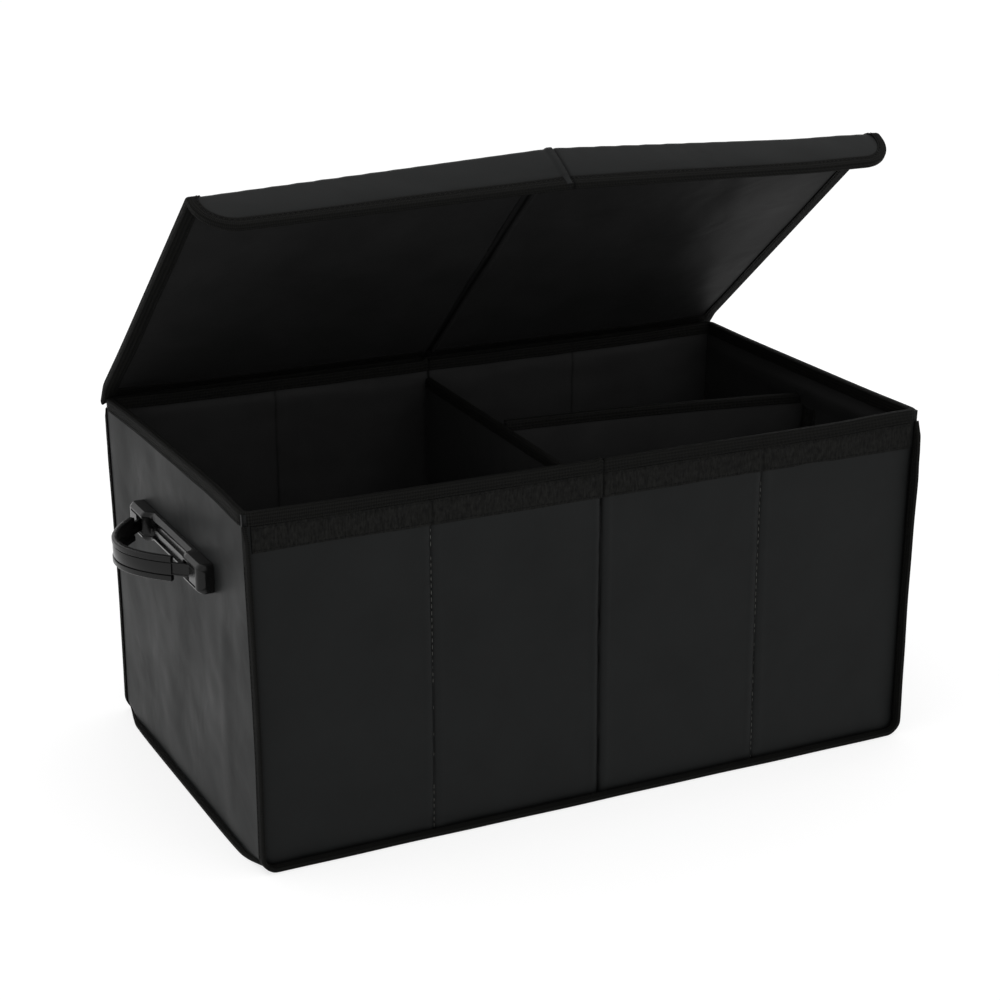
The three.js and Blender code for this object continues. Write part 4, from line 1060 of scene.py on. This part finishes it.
class ORGANIZER_OT_dividers(bpy.types.Operator):
    """Covers the divider and the partition, and binds their top edges"""

    bl_idname = "organizer.dividers"
    bl_label = "Dividers"

    def execute(self, context):
        low, top = span("divider_sleeve", 2)[0], span("divider_binding", 2)[1]
        reach = span("divider_sleeve", 1)[1]
        sleeve, tape = divider_shapes(-reach, reach, lambda s, a, z: [a, s, z], low, top, 101, divider_crest)
        sewn(strand("divider_cloth", sleeve, "inner_cloth", crease=50), "body", "divider_sleeve")
        sewn(strand("divider_tape", tape, "tape"), "body", "divider_binding")
        left, right = span("partition_sleeve", 0)
        start, end = (left - 0.1) / math.cos(PARTITION_SKEW), (right + 0.3) / math.cos(PARTITION_SKEW)
        sleeve, tape = divider_shapes(start, end, partition_place, low, top, 113, partition_crest)
        sewn(strand("partition_cloth", sleeve, "inner_cloth", crease=50), "body", "partition_sleeve")
        sewn(strand("partition_tape", tape, "tape"), "body", "partition_binding")
        for name in ("partition_tab_divider", "partition_tab_wall"):
            box = [span(name, i) for i in range(3)]
            wall = 0 if name.endswith("divider") else 1
            high = box[2][1] + (5 if wall else 6)
            y, z = crossed(stations(*box[1], 1.4), stations(box[2][0], high, 5))
            rim = np.minimum(np.minimum(y - box[1][0], box[1][1] - y), np.minimum(z - box[2][0], high - z))
            away = -1 if wall else 1
            face = box[0][wall] + away * (0.9 + 0.6 * np.sqrt(np.clip(rim / 2, 0, 1)) + 0.5 * (rim < 2.4))
            # Painted shade in a line just inside the raised border of the pile.
            dark = 0.9 * bell(rim - 3.4, 0.9)
            outer = grid(face, y, z)
            inner = grid(box[0][wall], y, z)
            sewn(slab(name + "_pile", outer, inner, "hook_loop", dark=dark), "body", name)
        return {"FINISHED"}


# ---------------------------------------------------------------- lid and flap


LID_LEG, FLAP_LEG = 12, 8  # how far the tape reaches in from the edge of the lid and of the flap
# The lid's layers, as heights above its underside.
LINING_OUT, LINING_IN = 1.0, 1.9
BOARD_LOW, BOARD_HIGH = 2.3, 4.3
COVER_IN, COVER_OUT = 4.7, 5.6


def lid_place(x, run, n):
    """A point of the lid or flap. run is the way from the hinge: to LID_DEPTH on the lid, then an
    angle of 0 to 1 round the fold, then down the flap; n is the height above the underside."""
    x, run, n = np.broadcast_arrays(np.asarray(x, float), np.asarray(run, float), np.asarray(n, float))
    turn = np.clip(run - LID_DEPTH, 0, 1) * FLAP_BEND
    down = np.maximum(run - LID_DEPTH - 1, 0)
    y = -np.minimum(run, LID_DEPTH) - n * np.sin(turn) - down * math.cos(FLAP_BEND)
    z = n * np.cos(turn) - down * math.sin(FLAP_BEND)
    ridge = millimetres("lid_ridge")
    roof = 1 - (np.sqrt(x**2 + 36) - 6) / (LID_X - 6)
    lift = ridge * np.clip(roof, 0, 1) * np.clip(run / LID_DEPTH, 0, 1)
    z = z + lift * (1 - 0.42 * np.clip(down / FLAP_HEIGHT, 0, 1))
    # The right side clears the wall that stands higher there, and the rear left corner its own.
    off_hinge = np.clip(run / 12, 0, 1)
    rear = np.clip((-x - 225) / 60, 0, 1) * off_hinge * bell(run, 60)
    z = z + 1.9 * smooth(x, 205, 70) * off_hinge + 1.5 * rear
    c, s = math.cos(LID_OPEN), math.sin(LID_OPEN)
    # The rear corners stand past the rim and curl down beside it.
    curl = np.clip((np.abs(x) - RIM_X - 0.3) / 3.5, 0, 1) ** 1.3 * bell(np.maximum(run, 0), 9)
    fall = np.where(x < 0, 7.0, 2.0) * curl
    skewed = x - LID_SKEW * np.clip(run / LID_DEPTH, 0, 1)
    return grid(skewed, AXIS_Y + y * c + z * s + 1.2 * curl, AXIS_Z - y * s + z * c - fall)


def lid_runs(first, last_down):
    """Places along lid, fold and flap, as lid_place counts them."""
    lid = stations(first, LID_DEPTH, 7, (LID_DEPTH - 10, 10, 2))
    fold = LID_DEPTH + np.linspace(0, 1, 12)[1:]
    flap = LID_DEPTH + 1 + stations(0, last_down, 2.6)[1:]
    return np.concatenate([lid, fold, flap])


def flap_half(run, half, inset):
    """Half the width at a place along the lid; the flap's lower corners are round."""
    down = np.maximum(run - LID_DEPTH - 1, 0)
    radius = FLAP_RADIUS - inset
    past = np.clip(down - (FLAP_HEIGHT - FLAP_RADIUS), 0, radius)
    return half - (radius - np.sqrt(np.maximum(radius**2 - past**2, 0)))


def lid_sheet(name, slot, outer_n, inner_n, rise):
    """A cloth over lid and flap, from 1 mm off the hinge to 1 mm inside the bound edge all round."""
    across = stations(-1, 1, 0.022, (0, 0.045, 0.0035))
    t, run = crossed(across, lid_runs(1.0, FLAP_HEIGHT - 1))
    x = t * flap_half(run, LID_X - 1, 1.0)
    up, dark = rise(x, run)
    low = inner_n + (np.minimum(up, 0) if outer_n > inner_n else np.maximum(up, 0))
    return slab(name, lid_place(x, run, outer_n + up), lid_place(x, run, low), slot, dark=dark)


def fold_ends():
    """Where the bend between lid and flap starts and ends, in the row frame, in metres."""
    a = lid_place(0, LID_DEPTH - 3, 0)
    b = lid_place(0, LID_DEPTH + 1 + 5, 0)
    lift = lid_place(0, LID_DEPTH, 0) - np.array([0, FOLD_Y, FOLD_Z])
    return [(p - lift) * MM for p in (a, b)]


def bent(piece, *nodes):
    """The piece's placement is baked into its mesh, and it stands for frame nodes."""
    start, end = fold_ends()
    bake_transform(piece)
    if nodes:
        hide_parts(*nodes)


def edge_path():
    """The bound edge of lid and flap as (x, run, inward x, inward run, leg), from the middle of the rear
    edge round the left side and the flap, and back round the right side."""
    half, radius, rear = LID_X, FLAP_RADIUS, 0.4
    path = [(-x, rear, 0, 1, LID_LEG) for x in stations(0, half - 14, 9)]
    path.append((-half, rear, 1, 1, LID_LEG))
    runs = stations(13, LID_DEPTH, 6, (20, 6, 2), (LID_DEPTH - 8, 8, 2))
    path += [(-half, run, 1, 0, LID_LEG) for run in runs]
    path += [
        (-half, LID_DEPTH + t, 1, 0, LID_LEG + (FLAP_LEG - LID_LEG) * t) for t in np.linspace(0, 1, 12)[1:]
    ]
    path += [(-half, LID_DEPTH + 1 + down, 1, 0, FLAP_LEG) for down in (1.0, 2.0)]
    base = LID_DEPTH + 1 + FLAP_HEIGHT - FLAP_RADIUS
    for a in np.linspace(0, math.pi / 2, 15):
        c, s = math.cos(a), math.sin(a)
        path.append((-half + radius * (1 - c), base + radius * s, c, -s, FLAP_LEG))
    front = stations(-half + radius + 6, 0, 7, (-5, 5, 1.0))
    path += [(x, base + radius, 0, -1, FLAP_LEG) for x in front]
    return path + [(-x, run, -ix, ir, leg) for x, run, ix, ir, leg in path[-2:0:-1]]


def bound_edge():
    """Rings of the tape folded round the lid's edge and the flap's, with painted shade where the centre pleat
    creases it.
    """
    rings, dark = [], []
    for order, (x, run, ix, ir, leg) in enumerate(edge_path()):
        wander = 0.3 * math.sin(order / 3.7)
        shape = folded_tape(EDGE, leg + wander, nose=2.1)
        inward = leg + wander - shape[:, 1]
        rings.append(lid_place(x + ix * inward, run + ir * inward, EDGE / 2 + shape[:, 0]))
        # Painted shade where the centre pleat creases the tape.
        pleat = math.exp(-(((x - 1.0) / 1.3) ** 2))
        dark.append(np.full(len(shape), pleat) * 0.9)
    return np.array(rings), np.array(dark)


def cover_rise(x, run):
    """How far the lid's outer cloth swells above its board, and the painted shade in its creases."""
    on_flap = np.clip(run - LID_DEPTH, 0, 1)
    down = np.maximum(run - LID_DEPTH - 1, 0)
    on_lid = np.minimum(run, LID_DEPTH)
    lid_part = 0.8 * panel_edge(x, LID_X, 8) * (1 - np.abs(2 * on_lid / LID_DEPTH - 1) ** 10)
    rise = (1 - on_flap) * (lid_part + 0.3 * ripple(x, run, 110, 131) * lid_part)
    # Low scallops along the fold, where the thread gathers the cloth, and a crown on the flap.
    crest = bell(run - LID_DEPTH - 0.4, 6)
    rise += 0.22 * np.sin(x / 3.1) * crest * (0.6 + 0.4 * np.sin(x / 41))
    belly = on_flap * np.clip(np.sin(math.pi * np.clip(down / FLAP_HEIGHT, 0, 1)), 0, 1)
    rise += belly * (0.9 + 0.25 * ripple(x, down, 60, 137)) * np.clip(1.2 - np.abs(x / LID_X) ** 6, 0, 1)
    # The pleat at the centre: a groove with the spare cloth laid over to its left.
    groove = bell(x - 1.0, 1.1)
    pleat = np.clip((x + 6.6) / 2.2, 0, 1) * np.clip((0.2 - x) / 1.0, 0, 1)
    front = np.clip((run - LID_DEPTH + 30) / 30, 0, 1)
    rise += front * (1.15 * pleat - 0.75 * groove)
    rise -= (1 - front) * 0.8 * bell(x, 3.0)
    edge = np.clip((np.abs(x) - flap_half(run, LID_X, 0) + 9.5) / 1.2, 0, 1) * on_flap
    hem = bell(FLAP_HEIGHT - FLAP_LEG - down, 0.9) * on_flap
    # Painted shade in the pleat's groove, along the flap tape's inner edge, and fainter down the flap's sides.
    dark = np.maximum(0.9 * groove * front, 0.45 * np.maximum(hem, edge * 0.4))
    return np.clip(rise, -0.8, 2.4), dark


def lining_rise(x, run):
    """Downward (towards the box) swell of the lid's lining; the centre fold is drawn up into the lid."""
    on_flap = np.clip(run - LID_DEPTH, 0, 1)
    t = np.clip(run / LID_DEPTH, 0, 1)
    swell = 0.45 + 0.4 * ripple(x, run, 90, 149) + 0.25 * ripple(x, run * 0.4, 45, 151)
    # It swells only inside the walls, so that the shut lid lies flat on the rim.
    reach, depth = 283, 0.965
    edge = np.clip(panel_edge(x, reach, 10), 0, 1) * np.clip(panel_edge(2 * t - 1, depth, 12), 0, 1)
    rise = -swell * edge * (1 - on_flap)
    # The fold is about 9 mm wide at the front and closes up towards the hinge.
    wide = 2.0 + 2.6 * t
    fold = bell(np.abs(x), wide + 0.6, 4)
    rise = rise * (1 - fold) + 1.3 * fold * (1 - on_flap * 0.6)
    lips = bell(np.abs(x) - wide - 2.5, 2.0)
    rise -= 0.9 * lips * (1 - on_flap)
    # Painted shade in the centre fold, darkest along its two sides.
    dark = 0.85 * bell(np.abs(x) - wide + 0.4, 1.1) + 0.25 * (np.abs(x) < wide)
    return np.clip(rise, -1.9, 1.9), np.clip(dark, 0, 1)


class ORGANIZER_OT_lid(bpy.types.Operator):
    """Covers the lid and its flap, lines them, and binds their edge"""

    bl_idname = "organizer.lid"
    bl_label = "Lid and flap"

    def execute(self, context):
        piece = lid_sheet("lid_cloth", "outer_cloth", COVER_OUT, COVER_IN, cover_rise)
        bent(piece, "lid_cover", "flap_cover", "flap_hinge_strip")
        piece = lid_sheet("lid_lining", "inner_cloth", LINING_OUT, LINING_IN, lining_rise)
        bent(piece, "lid_liner", "flap_liner")
        rings, dark = bound_edge()
        bent(strand("lid_tape", rings, "tape", closed=True, dark=dark), "lid_binding", "flap_binding")
        for side, low, high in (("left", -LID_X + 1.6, -6.0), ("right", 6.0, LID_X - 1.6)):
            x, run = crossed(stations(low, high, 12), stations(5.0, LID_DEPTH - 5, 12))
            self.board("lid", side, x, run)
            x, run = crossed(stations(low, high, 9), LID_DEPTH + 1 + stations(5.0, 28.5, 3))
            reach = flap_half(run, LID_X - 9, 9)
            self.board("flap", side, np.clip(x, -reach, reach), run)
        # Hook tape on the inner face of the flap, 16 mm wide and 500 mm long.
        high, low, reach = FLAP_HEIGHT - 30, FLAP_HEIGHT - 14, 250
        x, down = crossed(stations(-reach, reach, 4, (0, 8, 1.5)), stations(high, low, 1.8))
        rim = np.clip(np.minimum(down - high, low - down) / 1.5, 0, 1)
        outer = lid_place(x, LID_DEPTH + 1 + down, 0.1 - 0.55 * np.sqrt(rim))
        inner = lid_place(x, LID_DEPTH + 1 + down, 0.7)
        sewn(slab("hook_tape", outer, inner, "hook_loop"), "flap", "hook_strip")
        self.hinge()
        return {"FINISHED"}

    def board(self, body, side, x, run):
        """One of the four boards, bent with the cloth to the ridge."""
        upper, under = lid_place(x, run, BOARD_HIGH), lid_place(x, run, BOARD_LOW)
        sewn(slab(f"{body}_stiffener_{side}", upper, under, "board"), body, f"{body}_board_{side}")

    def hinge(self):
        """The rear edge's cloth hinge: up the back wall, round the lid's edge and over its top."""
        c, s = math.cos(LID_OPEN), math.sin(LID_OPEN)

        def lid_yz(back, up):
            return [AXIS_Y + back * c + up * s, AXIS_Z - back * s + up * c]

        wall = RIM_Y + 0.65
        corner = lid_yz(0.65, 0.65)
        guide = [[wall, z] for z in np.linspace(261.4, corner[1] - 1.4, 9)]
        guide += [[(wall + corner[0]) / 2, corner[1] - 0.5], corner]
        guide += [lid_yz(*place) for place in ((0.65, 3.6), (0.62, 6.5), (0.3, 7.15), (-0.4, 7.25))]
        guide += [lid_yz(-b, 7.25) for b in np.linspace(2, 14, 6)]
        guide = np.array(guide)
        heading = np.gradient(guide, axis=0)
        heading /= np.linalg.norm(heading, axis=1, keepdims=True)
        away = grid(heading[:, 1], -heading[:, 0])
        x = stations(-288, 288, 9)
        outer, inner = (
            grid(x[:, None], line[None, :, 0], line[None, :, 1])
            for line in (guide + away * TAPE / 2, guide - away * TAPE / 2)
        )
        along = np.concatenate([[0], np.cumsum(np.linalg.norm(np.diff(guide, axis=0), axis=1))])
        lie = np.stack(crossed(x, along), -1)
        piece = slab("lid_hinge_tape", outer, inner, "tape", lie)
        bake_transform(piece)
        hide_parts("lid_hinge_strip")


# ---------------------------------------------------------------- handles


SLOT_HALF = 6.3  # half the height of the pocket and slot in a base's block


def base_height(y):
    """How far the handle's base stands out at a place along it."""
    y, nose = abs(y), 6.0
    past = y - (BASE_HALF - nose)
    if past > 0:
        return BLOCK_OUT - nose + (math.sqrt(max(nose**2 - past**2, 0.0)) if y < BASE_HALF else 0.0)
    ramp = min(max((y - RAIL_END) / (BLOCK_START - RAIL_END), 0), 1)
    return RAIL_OUT + (BLOCK_OUT - RAIL_OUT) * ramp * ramp


def handle_base():
    """Rings of the base: a channelled rail between two blocks, whose tops carry two grooves."""
    ends = (45, 46, 47, 48, 49, 50, 50.9, 51.1, 55, 60, 65, 70, 75, 78, 79, 80, 81.5, 83, 84.2, 85.2, 85.8, 86)
    places = sorted({*np.linspace(-44.9, 44.9, 19), *ends, *(-v for v in ends)})
    rings = []
    for y in places:
        high = base_height(y)
        shrink = 3 - math.sqrt(max(9 - (abs(y) - 83) ** 2, 0)) if abs(y) > 83 else 0.0
        tall, cut, soft = BASE_TALL - shrink, 3.0, 0.45
        side = [
            [0.3, -tall], [high - cut - soft, -tall], [high - cut + soft * 0.7, -tall + soft * 0.7],
            [high - soft * 0.7, -tall + cut - soft * 0.7], [high, -tall + cut + soft],
        ]
        # Between the blocks the channel is broad and 2 mm deep; on a block each groove is 1 mm wide.
        rail = abs(y) < 45.5
        sink = 2.0 if rail else (0.9 if abs(y) < 79 else 0.0)
        width = 2.6 if rail else 0.5
        ridge = []
        for z in (-4.4, 4.4) if rail else (-6.9, 6.9):
            ridge += [[high, z - width - 0.35], [high - sink, z - width]]
            ridge += [[high - sink, z + width], [high, z + width + 0.35]]
        section = side + ridge + [[u, -z] for u, z in side[::-1]]
        rings.append([[u, y, z] for u, z in section])
    return np.array(rings)


def arch(y):
    """How far the grip's outer face stands out from the wall at a place along it."""
    return GRIP_OUT - GRIP_FALL * (y / GRIP_HALF) ** 2


def grip_rings():
    """Rings of the grip's band: an arch with a raised rail along each edge, and a groove beside each rail."""
    q = math.pi / 2

    def corner(depth, z, start, end, radius=1.1):
        return round_corner((depth, z), radius, start, end, 4).tolist()

    face = corner(-1.1, 8.9, q, 0)
    face += [[-0.05, 6.0], [-0.35, 5.6], [-1.5, 5.35], [-1.5, 4.95], [-0.8, 4.6], [-0.55, 3.4]]
    face += [[-0.5, 0.0]]
    back = corner(-4.1, 8.9, 2 * q, q)[::-1]
    back += [[-5.2, 6.0], [-4.9, 5.5], [-4.3, 5.2], [-4.25, 0.0]]
    section = face + [[d, -z] for d, z in face[-2::-1]]
    section += [[d, -z] for d, z in back] + [[d, z] for d, z in back[-2::-1]]
    rings = []
    for y in np.linspace(-GRIP_HALF, GRIP_HALF, 53):
        slope = -2 * GRIP_FALL * y / GRIP_HALF**2
        length = math.hypot(slope, 1)
        out = (1 / length, -slope / length)
        rings.append([[arch(y) + out[0] * d, y + out[1] * d, z] for d, z in section])
    return np.array(rings)


def grip_leg(sign):
    """Rings of one neck and foot: out of the arch's shoulder, down through the slot, and along."""
    slope = 2 * GRIP_FALL / GRIP_HALF
    length = math.hypot(slope, 1)
    middle = 2.6  # depth of the strap's middle behind the grip's outer face
    shoulder = np.array([arch(GRIP_HALF) - middle / length, GRIP_HALF - slope / length * middle])
    heading = np.array([-slope / length, 1 / length])
    foot = 9.5
    heel = shoulder + heading * (shoulder[0] - foot) / (slope / length)
    guide = [shoulder - heading * 4, shoulder, (shoulder + heel) / 2]
    # The bend at the heel.
    for t in np.linspace(-1, 1, 7):
        a = heel - heading * 2.2 * max(-t, 0)
        b = np.array([0.0, 2.2 * max(t, 0)])
        bow = 0.35 * (1 - t * t)
        guide.append(a + b + np.array([bow, -bow * 0.4]))
    guide.append(heel + np.array([0, 9.0]))
    guide = np.array(guide)
    run = np.gradient(guide, axis=0)
    run /= np.linalg.norm(run, axis=1, keepdims=True)
    out = grid(run[:, 1], -run[:, 0])
    # A flat strap 10 mm wide with a low bead along each edge.
    half = [[1.2, 5.0], [1.35, 4.6], [1.2, 4.0], [0.75, 3.7], [0.7, 0.0]]
    section = half + [[d, -z] for d, z in half[-2::-1]]
    section += [[-d, -z] for d, z in half] + [[-d, z] for d, z in half[-2::-1]]
    rings = [[[p[0] + o[0] * d, sign * (p[1] + o[1] * d), z] for d, z in section] for p, o in zip(guide, out)]
    return np.array(rings)


def carve(piece, boxes):
    """Cuts boxes out of a piece, each given by two opposite corners in millimetres."""
    cutter = bmesh.new()
    for one, other in boxes:
        made = bmesh.ops.create_cube(cutter, size=1.0)["verts"]
        size = Matrix.Diagonal([abs(b - a) * MM for a, b in zip(one, other)]).to_4x4()
        middle = Matrix.Translation([(a + b) / 2 * MM for a, b in zip(one, other)])
        bmesh.ops.transform(cutter, matrix=middle @ size, verts=made)
    mesh = bpy.data.meshes.new("slots")
    cutter.to_mesh(mesh)
    cutter.free()
    tool = linked("slots", mesh)
    modifier = piece.modifiers.new("slots", "BOOLEAN")
    modifier.operation, modifier.object, modifier.solver = "DIFFERENCE", tool, "EXACT"
    drawn = piece.evaluated_get(bpy.context.evaluated_depsgraph_get())
    plain = bpy.data.meshes.new_from_object(drawn)
    piece.modifiers.clear()
    piece.data = plain
    plain.set_sharp_from_angle(angle=math.radians(SHARP))
    bpy.data.objects.remove(tool)


class ORGANIZER_OT_handles(bpy.types.Operator):
    """Moulds the two carrying handles"""

    bl_idname = "organizer.handles"
    bl_label = "Handles"

    def execute(self, context):
        for side, turn in (("right", 1), ("left", -1)):
            def seat(rings):
                return (rings + np.array([WALL_X, 0, HANDLE_Z])) * np.array([turn, turn, 1.0])

            base = strand(f"{side}_handle_moulding", seat(handle_base()), "plastic", crease=24)
            # Each block has a pocket that the grip's foot lies in, and a slot that its neck comes out of:
            # from where to where they reach, outward from the wall and along the base.
            pocket, slot = ((2.2, 11.0), (51, 73)), ((10.0, 14.0), (51, 65))
            boxes = []
            for end in (turn, -turn):
                for out, along in (pocket, slot):
                    boxes.append([
                        (turn * (WALL_X + out[i]), end * along[i], HANDLE_Z + high)
                        for i, high in enumerate((-SLOT_HALF, SLOT_HALF))
                    ])
            carve(base, boxes)
            sewn(base, "body", f"{side}_handle_base", soft=False)
            parts = [strand("band", seat(grip_rings()), "plastic", crease=30)]
            for sign in (1, -1):
                parts.append(strand("leg", seat(grip_leg(sign)), "plastic", crease=30))
            grip = parts[0]
            grip.name = f"{side}_grip_moulding"
            work = bmesh.new()
            for part in parts:
                work.from_mesh(part.data)
            work.to_mesh(grip.data)
            work.free()
            for part in parts[1:]:
                bpy.data.objects.remove(part)
            sewn(grip, f"{side}_grip", f"{side}_grip")
        return {"FINISHED"}


class ORGANIZER_OT_frame_finishes(bpy.types.Operator):
    """Gives the boards, plates and screws of the frame their finishes"""

    bl_idname = "organizer.frame_finishes"
    bl_label = "Boards and hardware"

    def execute(self, context):
        slots = {entry["node"]: entry["material_slot"] for entry in frame["record"]["subparts"]}
        for name, node in frame["nodes"].items():
            node.data.materials.clear()
            node.data.materials.append(finish_of(slots[name]))
        return {"FINISHED"}


# ---------------------------------------------------------------- sewing


class ORGANIZER_OT_stitching(bpy.types.Operator):
    """Runs the rows of stitches along the seams and tapes"""

    bl_idname = "organizer.stitching"
    bl_label = "Stitching"

    def execute(self, context):
        lift = 0.12  # how far the threads' middles stand above the cloth
        heights = np.linspace(6, 250, 60)
        seams = []
        for index in (0, 2):
            line = grid(seam_line(index, heights), -WALL_Y + millimetres("seam_depth") - lift, heights)
            seams += [line, mirrored(line)]
        sewn(stitches("seam_stitches", seams, "seam_thread", pitch=0.0055), "body")
        # Rim: one row through the tape on each face of each wall.
        x, y, z = RIM_X + lift, RIM_Y + lift, RIM_LOW + 2.2
        a, b = RIM_X - EDGE - lift, RIM_Y - EDGE - lift
        rim = []
        for half_x, half_y in ((x, y), (a, b)):
            for s in (-1, 1):
                rim.append(grid(np.linspace(-half_x + 4, half_x - 4, 60), s * half_y, z))
                rim.append(grid(s * half_x, np.linspace(-half_y + 4, half_y - 4, 40), z))
        # Loop strip, 1.1 mm thick: a row along its upper and its lower edge.
        low, high = span("loop_strip", 2)
        right = span("loop_strip", 0)[1]
        for z in (low + 1.9, high - 1.9):
            rim.append(grid(np.linspace(-right + 2, right - 2, 90), -WALL_Y - SEWN_ON - 1.1 - lift, z))
        # Dividers: one row on each face of the tape on their crests.
        row = span("divider_binding", 2)[1] - 6
        share = 0.93  # at the row the crest has risen this far
        end, far = DIVIDER_REACH - 4, PARTITION_REACH - 4
        for face in (-EDGE / 2 - lift, EDGE / 2 + lift):
            rim.append([[face, v, row + divider_crest(v) * share] for v in np.linspace(-end, end, 80)])
            rim.append([
                partition_place(t, face, row + partition_crest(t) * share) for t in np.linspace(8, far, 60)
            ])
        sewn(stitches("rim_stitches", rim), "body")
        # Fins: a row near the wall side of the upright and foot tapes.
        fins = []
        half, row = RIM_X - FIN / 2, -WALL_Y - 2.2
        faces = (-FIN / 2 - lift, FIN / 2 + lift)
        for s in (-1, 1):
            fins += [grid(s * (half + across), row, np.linspace(14, 245, 60)) for across in faces]
        foot = np.linspace(-half + 12, half - 12, 120)
        fins += [grid(foot, row, max(FIN / 2 + across, 0.1)) for across in faces]
        fins += [mirrored(line) for line in fins]
        fins += [grid(s * (WALL_X + 1.7), np.linspace(-138, 138, 60), FIN + lift) for s in (-1, 1)]
        sewn(stitches("seam_tape_stitches", fins), "body")
        # Lid and flap: one row on each face of the edge tape, 2 mm from its inner edge.
        edge = []
        for n in (-lift, EDGE + lift):
            for part in (edge_path()[3:], edge_path()[:2]):
                edge.append([
                    lid_place(x + ix * (leg - 2.0), run + ir * (leg - 2.0), n) for x, run, ix, ir, leg in part
                ])
        bent(stitches("lid_stitches", edge))
        return {"FINISHED"}


# ---------------------------------------------------------------- stage


# The camera was fitted to the corners of the box and the lid in the photograph, 1000 pixels wide.
FRAME_PIXELS, FOCAL_PIXELS, SENSOR = 1000, 2272.054, 36
CAMERA_PLACE = (-0.80155, -1.61605, 0.81510)
CAMERA_AZIMUTH, CAMERA_ELEVATION = -26.173, 18.762


def seen(tree):
    """1 where the camera sees the backdrop, straight, in a reflection or through glass, and 0 for its light."""
    path = add(tree, "ShaderNodeLightPath").outputs
    direct = add(
        tree, "ShaderNodeMath", {0: path["Is Camera Ray"], 1: path["Is Transmission Ray"]}, operation="MAXIMUM"
    )
    return add(
        tree, "ShaderNodeMath", {0: direct.outputs[0], 1: path["Is Glossy Ray"]}, operation="MAXIMUM"
    ).outputs[0]


def lamp(name, place, aim, size, watts):
    """A rectangular softbox that stands at a place and points at another."""
    light = bpy.data.lights.new(name, "AREA")
    light.shape, light.size, light.size_y, light.energy = "RECTANGLE", size[0], size[1], watts
    item = linked(name, light)
    item.location = place
    item.rotation_euler = (Vector(aim) - Vector(place)).to_track_quat("-Z", "Y").to_euler()


class ORGANIZER_OT_stage(bpy.types.Operator):
    """Sets the pale floor, the lamps, the world and the camera"""

    bl_idname = "organizer.stage"
    bl_label = "Stage"

    def execute(self, context):
        scene = context.scene
        scene.view_settings.view_transform = "Standard"
        bpy.ops.mesh.primitive_plane_add(size=30, location=(0, 0, -0.0002))
        floor = context.object
        floor.name = "floor"
        finish = bpy.data.materials.new("white sweep")
        finish.use_nodes = True
        tree = finish.node_tree
        tree.nodes.remove(tree.nodes["Principled BSDF"])
        out = tree.nodes["Material Output"]
        # To the eye the floor is white but for the object's shadow; the light it gives back is a pale grey's.
        lit = add(tree, "ShaderNodeBsdfDiffuse", {"Color": (0.42, 0.42, 0.42, 1)})
        glow = add(tree, "ShaderNodeEmission", {"Color": (1, 1, 1, 1), "Strength": 0.72})
        both = add(tree, "ShaderNodeAddShader", {0: lit.outputs[0], 1: glow.outputs[0]})
        pale = add(tree, "ShaderNodeBsdfDiffuse", {"Color": (0.75, 0.75, 0.75, 1)})
        mixed = add(tree, "ShaderNodeMixShader", {0: seen(tree), 1: pale.outputs[0], 2: both.outputs[0]})
        tree.links.new(mixed.outputs[0], out.inputs["Surface"])
        floor.data.materials.append(finish)

        world = bpy.data.worlds.new("studio")
        scene.world = world
        world.use_nodes = True
        tree = world.node_tree
        strength = add(tree, "ShaderNodeMapRange", {"Value": seen(tree), "To Min": 0.76, "To Max": 1.0})
        back = tree.nodes["Background"]
        back.inputs["Color"].default_value = (1, 1, 1, 1)
        tree.links.new(strength.outputs["Result"], back.inputs["Strength"])

        lamp("left softbox", (-2.2, 0.6, 1.0), (0, 0, 0.2), (1.6, 1.4), 2.8)
        lamp("front softbox", (0.6, -2.6, 1.7), (0, 0, 0.25), (1.8, 1.2), 9.2)
        lamp("overhead softbox", (-0.3, 0.4, 2.6), (0, 0, 0.2), (2.0, 1.6), 5)

        camera = bpy.data.cameras.new("camera")
        camera.sensor_width = SENSOR
        camera.lens = FOCAL_PIXELS / FRAME_PIXELS * SENSOR
        camera.clip_start, camera.clip_end = 0.05, 50
        azimuth, elevation = math.radians(CAMERA_AZIMUTH), math.radians(CAMERA_ELEVATION)
        flat = math.cos(elevation)
        view = Vector((-math.sin(azimuth) * flat, math.cos(azimuth) * flat, -math.sin(elevation)))
        scene.camera = linked("camera", camera)
        scene.camera.location = CAMERA_PLACE
        scene.camera.rotation_euler = view.to_track_quat("-Z", "Y").to_euler()
        return {"FINISHED"}


class ORGANIZER_PT_panel(bpy.types.Panel):
    """Lists the organizer's operators and settings"""

    bl_label = "Boot organizer"
    bl_idname = "ORGANIZER_PT_panel"
    bl_space_type = "VIEW_3D"
    bl_region_type = "UI"
    bl_category = "Organizer"

    def draw(self, context):
        for group in (context.scene.organizer_sizes, context.scene.organizer_colours):
            box = self.layout.box()
            for name in group.__annotations__:
                box.prop(group, name)
        for step in STEPS:
            self.layout.operator(step.bl_idname)


STEPS = (
    ORGANIZER_OT_frame_finishes,
    ORGANIZER_OT_walls,
    ORGANIZER_OT_lining,
    ORGANIZER_OT_rim,
    ORGANIZER_OT_dividers,
    ORGANIZER_OT_lid,
    ORGANIZER_OT_handles,
    ORGANIZER_OT_stitching,
    ORGANIZER_OT_stage,
)
CLASSES = (OrganizerSizes, OrganizerColours, *STEPS, ORGANIZER_PT_panel)


def register():
    for item in CLASSES:
        bpy.utils.register_class(item)
    bpy.types.Scene.organizer_sizes = bpy.props.PointerProperty(type=OrganizerSizes)
    bpy.types.Scene.organizer_colours = bpy.props.PointerProperty(type=OrganizerColours)


def unregister():
    del bpy.types.Scene.organizer_colours
    del bpy.types.Scene.organizer_sizes
    for item in reversed(CLASSES):
        bpy.utils.unregister_class(item)


def main():
    register()
    for step in STEPS:
        group, name = step.bl_idname.split(".")
        getattr(getattr(bpy.ops, group), name)()


if __name__ == "__main__":
    main()
